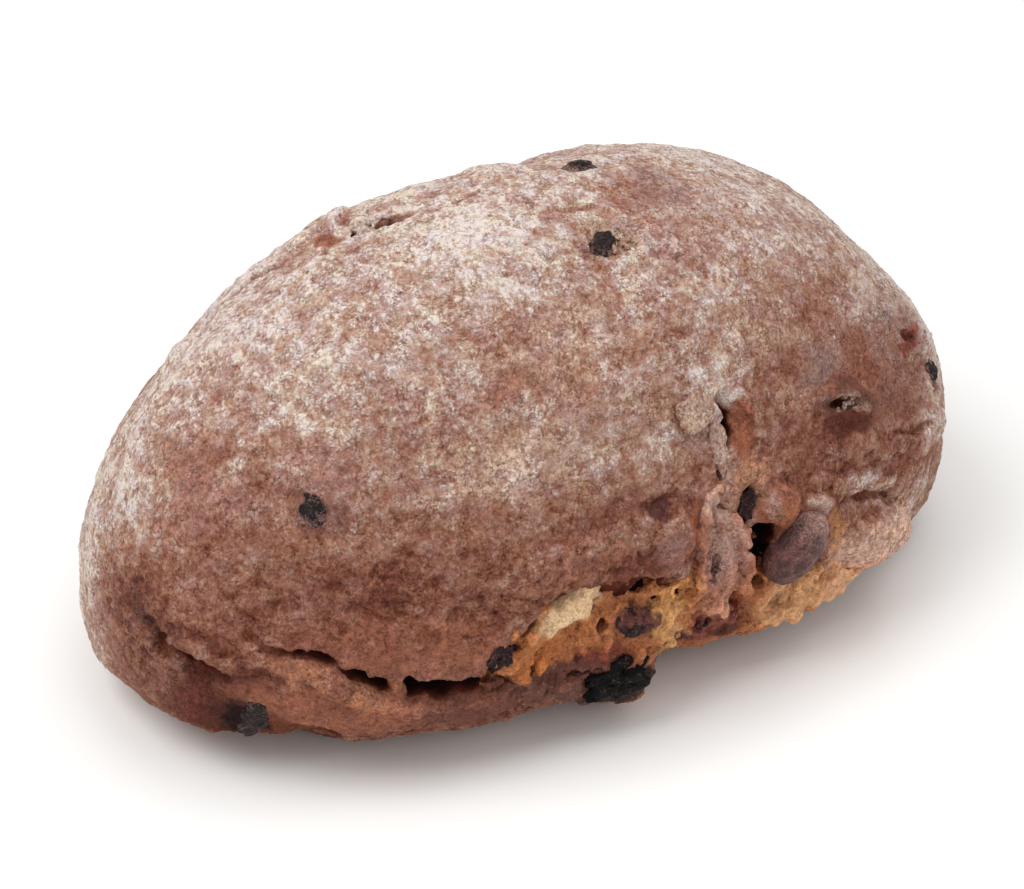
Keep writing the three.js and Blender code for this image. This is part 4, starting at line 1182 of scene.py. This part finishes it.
# The floor of the burst: thickness, sink, how far it passes under the lower and the upper edge of the
# opening, and how proud it stands along the lower one.
CRUMB_FLOOR = (6.4, 7.2, (6, 1.6), 3.2)
# A roll of crumb under the lip: route, width, thickness, lean and sink.
UNDER_LIP = ([[-76, -16], [-68, -15], [-60, -17], [-54, -19]], 11, 4, 0, 1.2)
CRAG_SEED = 7
CRAG_COUNT = 90
CRAG_SHARES = (0.04, 0.9)  # how far up the opening they stand
CRAG_SIZES = ((1.2, 3.6), (1.0, 2.4), (1.0, 2.2))  # half sizes, from and to
CRAG_SINKS = (0.6, 2.2)
# Where the crumb is smooth: place, reach, how much and spin.
SMOOTH = {
    "cream patch": ([-101.2, 12], (12.4, 6.6), 0.9, 22),
    "tongue": ([-80, 13], (9, 16), 0.8),
}
TEARS = 1.1  # height of the wide pits and ridges of torn crumb
PORES = 0.22  # depth of its small pores
CRUMB_TINT = "#b56f42"


def calm(points):
    """Less than 1 where the crumb is smooth."""
    smooth = [amount * patch(points, at, reach, *spin) for at, reach, amount, *spin in SMOOTH.values()]
    return 1 - np.max(smooth, axis=0)


def torn(points):
    """The wide pits and ridges of torn crumb, from about -1 to 1."""
    bent = ragged(points, 1.4, 4)
    return evened(0.5 * pitted(bent, 6.5, 2.0) + 0.5 * ridged(bent, 8, 3, 5.0))


def pored(points):
    """Its small pores, from about -1 to 1."""
    return evened(pitted(ragged(points, 0.5, 1.5), 1.7, 8.0))


def make_crumb():
    floor = between(TORN_FOOT, TORN_TOP, *CRUMB_FLOOR)
    draw = random.Random(CRAG_SEED)
    crags = []
    for i in range(CRAG_COUNT):
        share = np.array([(i + draw.random()) / CRAG_COUNT])
        low, high = way_through(TORN_FOOT, share)[0], way_through(TORN_TOP, share)[0]
        at = low + (high - low) * draw.uniform(*CRAG_SHARES)
        size = [draw.uniform(*span) for span in CRAG_SIZES]
        sink = draw.uniform(*CRAG_SINKS)
        crags.append(lump(at, size, sink, draw.uniform(-20, 70), 3, craggy(i * 1.7, 0.35)))
    strands = [spindle(route, width, depth, sink=sink) for route, width, depth, sink in STRANDS.values()]
    beads = [lump(at, size, 0.4, 0, 3, craggy(2.0, 0.12)) for at, size in DROPLETS.values()]
    cream = lump(*CREAM_PATCH, shape=craggy(6.0, 0.05))
    shapes = [floor, spindle(*UNDER_LIP), *crags, *strands, *beads, cream]
    whole = fused(joined("crumb", shapes), CRUMB_START_VOXEL)
    points, out = points_of(whole), points_of(whole, "normal")
    lift = calm(points) * (TEARS * torn(points) + 0.5 * rough(points, 6, 3)) + 0.3 * rough(points, 2.2, 3)
    moved(whole, points + out * lift[:, None])

    cutters = [lump(at, size, shape=craggy(3.0, 0.15)) for at, size in HOLLOWS.values()]
    cutters.append(spindle(*CRACKS["slot in the tongue"]))
    cutter = fused(joined("cutters", cutters), CRUMB_CUTTER_VOXEL)
    carved = cut(fused(whole, CRUMB_CARVED_VOXEL), cutter)
    mesh = fused(cut(carved, slab()), CRUMB_VOXEL)
    points, out = points_of(mesh), points_of(mesh, "normal")
    lift = calm(points) * PORES * pored(points) + 0.12 * rough(points, 0.8, 2, 3.0)
    shifted = points + out * lift[:, None]
    shifted[:, 2] = np.maximum(shifted[:, 2], FLAT)
    mesh = thinned(moved(mesh, shifted), MOST_TRIANGLES)

    points = points_of(mesh)
    blurred = ragged(points, 0.9, 2.5)
    tinted(mesh, blurred, CRUMB_TINTS, CRUMB_TINT)
    marked(mesh, "dusted", summed(blurred, DUSTED))
    proud = np.clip(standing(mesh, 30) / 0.7, -1, 1)
    # How proud the crumb stands; it drives the painted light on its ridges and the painted shade in its
    # pits.
    marked(mesh, "raised", 0.72 - 0.14 * calm(points) + 0.45 * proud)
    # Painted shade, deepening with the depth under the crust.
    marked(mesh, "deep_shade", (depth_under_crust(points) - 4.6) / 4)
    return mesh


piece_from(make_crust(), "crust", crust_finish, "crust", "loaf")
piece_from(make_crumb(), "torn_crumb", crumb_finish, "crust")

# ---- fruit --------------------------------------------------------------------------------------

FRUIT_DETAIL = 6
BLOOM = 0.5  # how dusty a raisin in the crust is
CORNER_BLOOM = 0.06  # and the one at the foot
NUT_FLOUR = ([-67, 14.5], (14, 12))  # place and reach of the flour on top of the nut


def stewed(shift, lobes=0.0):
    """A raisin that stewed in the crumb: slumped, craggy, and sometimes pinched into two lobes."""
    folded = raisin_folds(shift)

    def slumped(unit):
        pinched = lobes * np.exp(-(((unit[:, 0] + 0.25) / 0.24) ** 2))
        return folded(unit) + 0.28 * rough(unit, 0.8, 3, shift) - pinched

    return slumped


for i, (name, (at, size, sink, spin)) in enumerate(FRUIT.items()):
    is_nut = name == "nut"
    is_stewed = name in IN_THE_BURST and not is_nut
    if is_nut:
        shape, finish, slot = nut_form, nut_finish, "nut_skin"
    elif is_stewed:
        shape, finish, slot = stewed(3.1 * i), wet_finish, "raisin"
    else:
        shape, finish, slot = raisin_folds(3.1 * i), raisin_finish, "raisin"
    if name == "raisin_foot":
        shape, finish = stewed(3.1 * i, 0.2), burnt_finish
    mesh = lump(at, size, sink, spin, FRUIT_DETAIL, shape)
    points = points_of(mesh)
    if is_nut:
        marked(mesh, "dusted", 0.12 + 0.85 * patch(points, *NUT_FLOUR))
    elif is_stewed:
        marked(mesh, "dusted", 0.1 + 0.1 * rough(points, 2, 2))
    else:
        bloom = CORNER_BLOOM if name == "raisin_corner" else BLOOM
        marked(mesh, "dusted", bloom + 0.4 * depth_under_crust(points) + 0.3 * rough(points, 2.6, 2))
    piece_from(mesh, name + "_piece", finish, slot, name)

# ---- flakes, crumbs and grains of flour ---------------------------------------------------------


def floury(mesh, flour, table=None):
    """Marks a small piece of crust as the whole crust is marked."""
    points = points_of(mesh)
    marked(mesh, "flour", np.full(len(points), flour))
    tinted(mesh, points, table or {})
    marked(mesh, "inside", np.zeros(len(points)))
    return mesh


FLAKE_TINTS = {"beige": ([-80, 38], (6, 6), "#b29889", 0.8)}
flakes = [
    lump(*FLAKE, shape=plate_form),
    lump([-78.4, 39.4], [1.8, 1.6, 1.2], -0.4, 20, shape=craggy(15.0, 0.2, 0.6)),
    lump([-81.6, 39.6], [1.2, 1.4, 1.0], -0.9, 0, shape=craggy(18.0, 0.2, 0.6)),
    spindle(*RIBBON),
]
flake = fused(joined("flake", flakes), 0.3)
piece_from(floury(flake, 0.62, FLAKE_TINTS), "flake", crust_finish, "crust")


def scattered(seed, count, at, reach, halves):
    """Grains strewn about a place: so many, within that reach, between two half sizes."""
    draw = random.Random(seed)
    grains = []
    for i in range(count):
        turn = at[0] + draw.gauss(0, 0.5) * reach[0]
        rise = at[1] + draw.gauss(0, 0.5) * reach[1]
        half = draw.uniform(*halves)
        size = [half * draw.uniform(0.8, 1.4), half * draw.uniform(0.8, 1.2), half * 0.8]
        sink = draw.uniform(0.1, 0.5) * half
        grains.append(lump([turn, rise], size, sink, draw.uniform(0, 90), 3, craggy(i * 2.3, 0.4)))
    return grains


# Lumps of flour on the crust, and crumbs in the burst: seed, count, place, reach and half sizes.
LUMPS = {
    "narrow end": (3, 8, [-150.5, 32], (1.6, 1.4), (0.4, 0.9)),
    "by the flank raisin": (4, 2, [-132.5, 31.5], (0.8, 0.8), (0.5, 0.9)),
    "crown": (5, 40, [-63, 71.5], (12, 3), (0.3, 0.8)),
    "puncture": (6, 12, [-56.5, 28.8], (3, 0.8), (0.3, 0.7)),
    "broad end tear": (7, 12, [-35, 24.5], (2.5, 1.2), (0.3, 0.8)),
    "torn ledge": (8, 10, [-102, 21], (9, 2), (0.3, 0.6)),
}
LOOSE = {
    "pulled crumb": (12, 8, [-86, 2], (5, 8), (0.4, 0.8)),
    "foot of the tongue": (13, 8, [-79, -4], (4, 5), (0.4, 0.8)),
}
flour_lumps = joined("flour_lumps", [grain for place in LUMPS.values() for grain in scattered(*place)])
piece_from(floury(flour_lumps, 0.7), "flour_lumps", crust_finish, "crust")

loose_crumbs = joined("loose_crumbs", [grain for place in LOOSE.values() for grain in scattered(*place)])
tinted(loose_crumbs, points_of(loose_crumbs), CRUMB_TINTS, "#b57c45")
for name, value in {"dusted": 0.1, "raised": 0.6, "deep_shade": 0}.items():
    marked(loose_crumbs, name, np.full(len(loose_crumbs.vertices), value))
piece_from(loose_crumbs, "loose_crumbs", crumb_finish, "crust")

# ---- floor, light and camera --------------------------------------------------------------------

FLOOR_REACH = 3  # metres from its middle to each side
SKY_STRENGTH = 0.55
VIEW_TURN = np.radians(-35.0)
VIEW_RISE = np.radians(36.0)
VIEW_ROLL = np.radians(3.0)
VIEW_DISTANCE = 0.7
LENS = 105.8
SENSOR = 36
AIM = (np.array([0, 0, 40.0]) + FORM_TO_PART) * MM
ASIDE = 0.0035  # the loaf lies a little left of the middle
# Square area lights that face the loaf: place, as right, up and back from the camera's aim, and size,
# both in metres, and power in watts.
LIGHTS = {
    "key": ((-0.6, 0.75, 0.3), 0.7, 7.3),
    "overhead": ((0.2, 1.0, -0.2), 0.8, 3),
    "fill": ((0.9, 0.3, 0.5), 0.9, 1.8),
}

form = bmesh.new()
bmesh.ops.create_grid(form, x_segments=1, y_segments=1, size=FLOOR_REACH)
floor_mesh = mesh_of(form, "floor")
floor = bpy.data.objects.new("floor", floor_mesh)
bpy.context.scene.collection.objects.link(floor)
paper, _, paper_shader = new_material("White studio paper", Roughness=0.9)
paper_shader.inputs["Base Color"].default_value = linear("#f8f8f7")
floor_mesh.materials.append(paper)

world = bpy.data.worlds.new("studio")
bpy.context.scene.world = world
world.use_nodes = True
world.node_tree.nodes["Background"].inputs["Color"].default_value = linear("#fbfaf8")
world.node_tree.nodes["Background"].inputs["Strength"].default_value = SKY_STRENGTH

back = np.array(
    [np.sin(VIEW_TURN) * np.cos(VIEW_RISE), -np.cos(VIEW_TURN) * np.cos(VIEW_RISE), np.sin(VIEW_RISE)]
)
right = np.array([np.cos(VIEW_TURN), np.sin(VIEW_TURN), 0])
up = np.cross(back, right)
aim = AIM + right * ASIDE
tilted_right = right * np.cos(VIEW_ROLL) + up * np.sin(VIEW_ROLL)
tilted_up = up * np.cos(VIEW_ROLL) - right * np.sin(VIEW_ROLL)
camera = bpy.data.objects.new("camera", bpy.data.cameras.new("camera"))
camera.data.lens = LENS
camera.data.sensor_width = SENSOR
placing = Matrix(np.column_stack([tilted_right, tilted_up, back]).tolist()).to_4x4()
placing.translation = Vector(aim + back * VIEW_DISTANCE)
camera.matrix_world = placing
bpy.context.scene.collection.objects.link(camera)
bpy.context.scene.camera = camera

for name, (offset, size, power) in LIGHTS.items():
    light = bpy.data.objects.new(name, bpy.data.lights.new(name, "AREA"))
    light.data.size = size
    light.data.energy = power
    spot = Vector(aim + right * offset[0] + np.array([0, 0, 1.0]) * offset[1] + back * offset[2])
    light.location = spot
    light.rotation_euler = (Vector(aim) - spot).to_track_quat("-Z", "Y").to_euler()
    bpy.context.scene.collection.objects.link(light)

bpy.context.scene.view_settings.view_transform = "Standard"
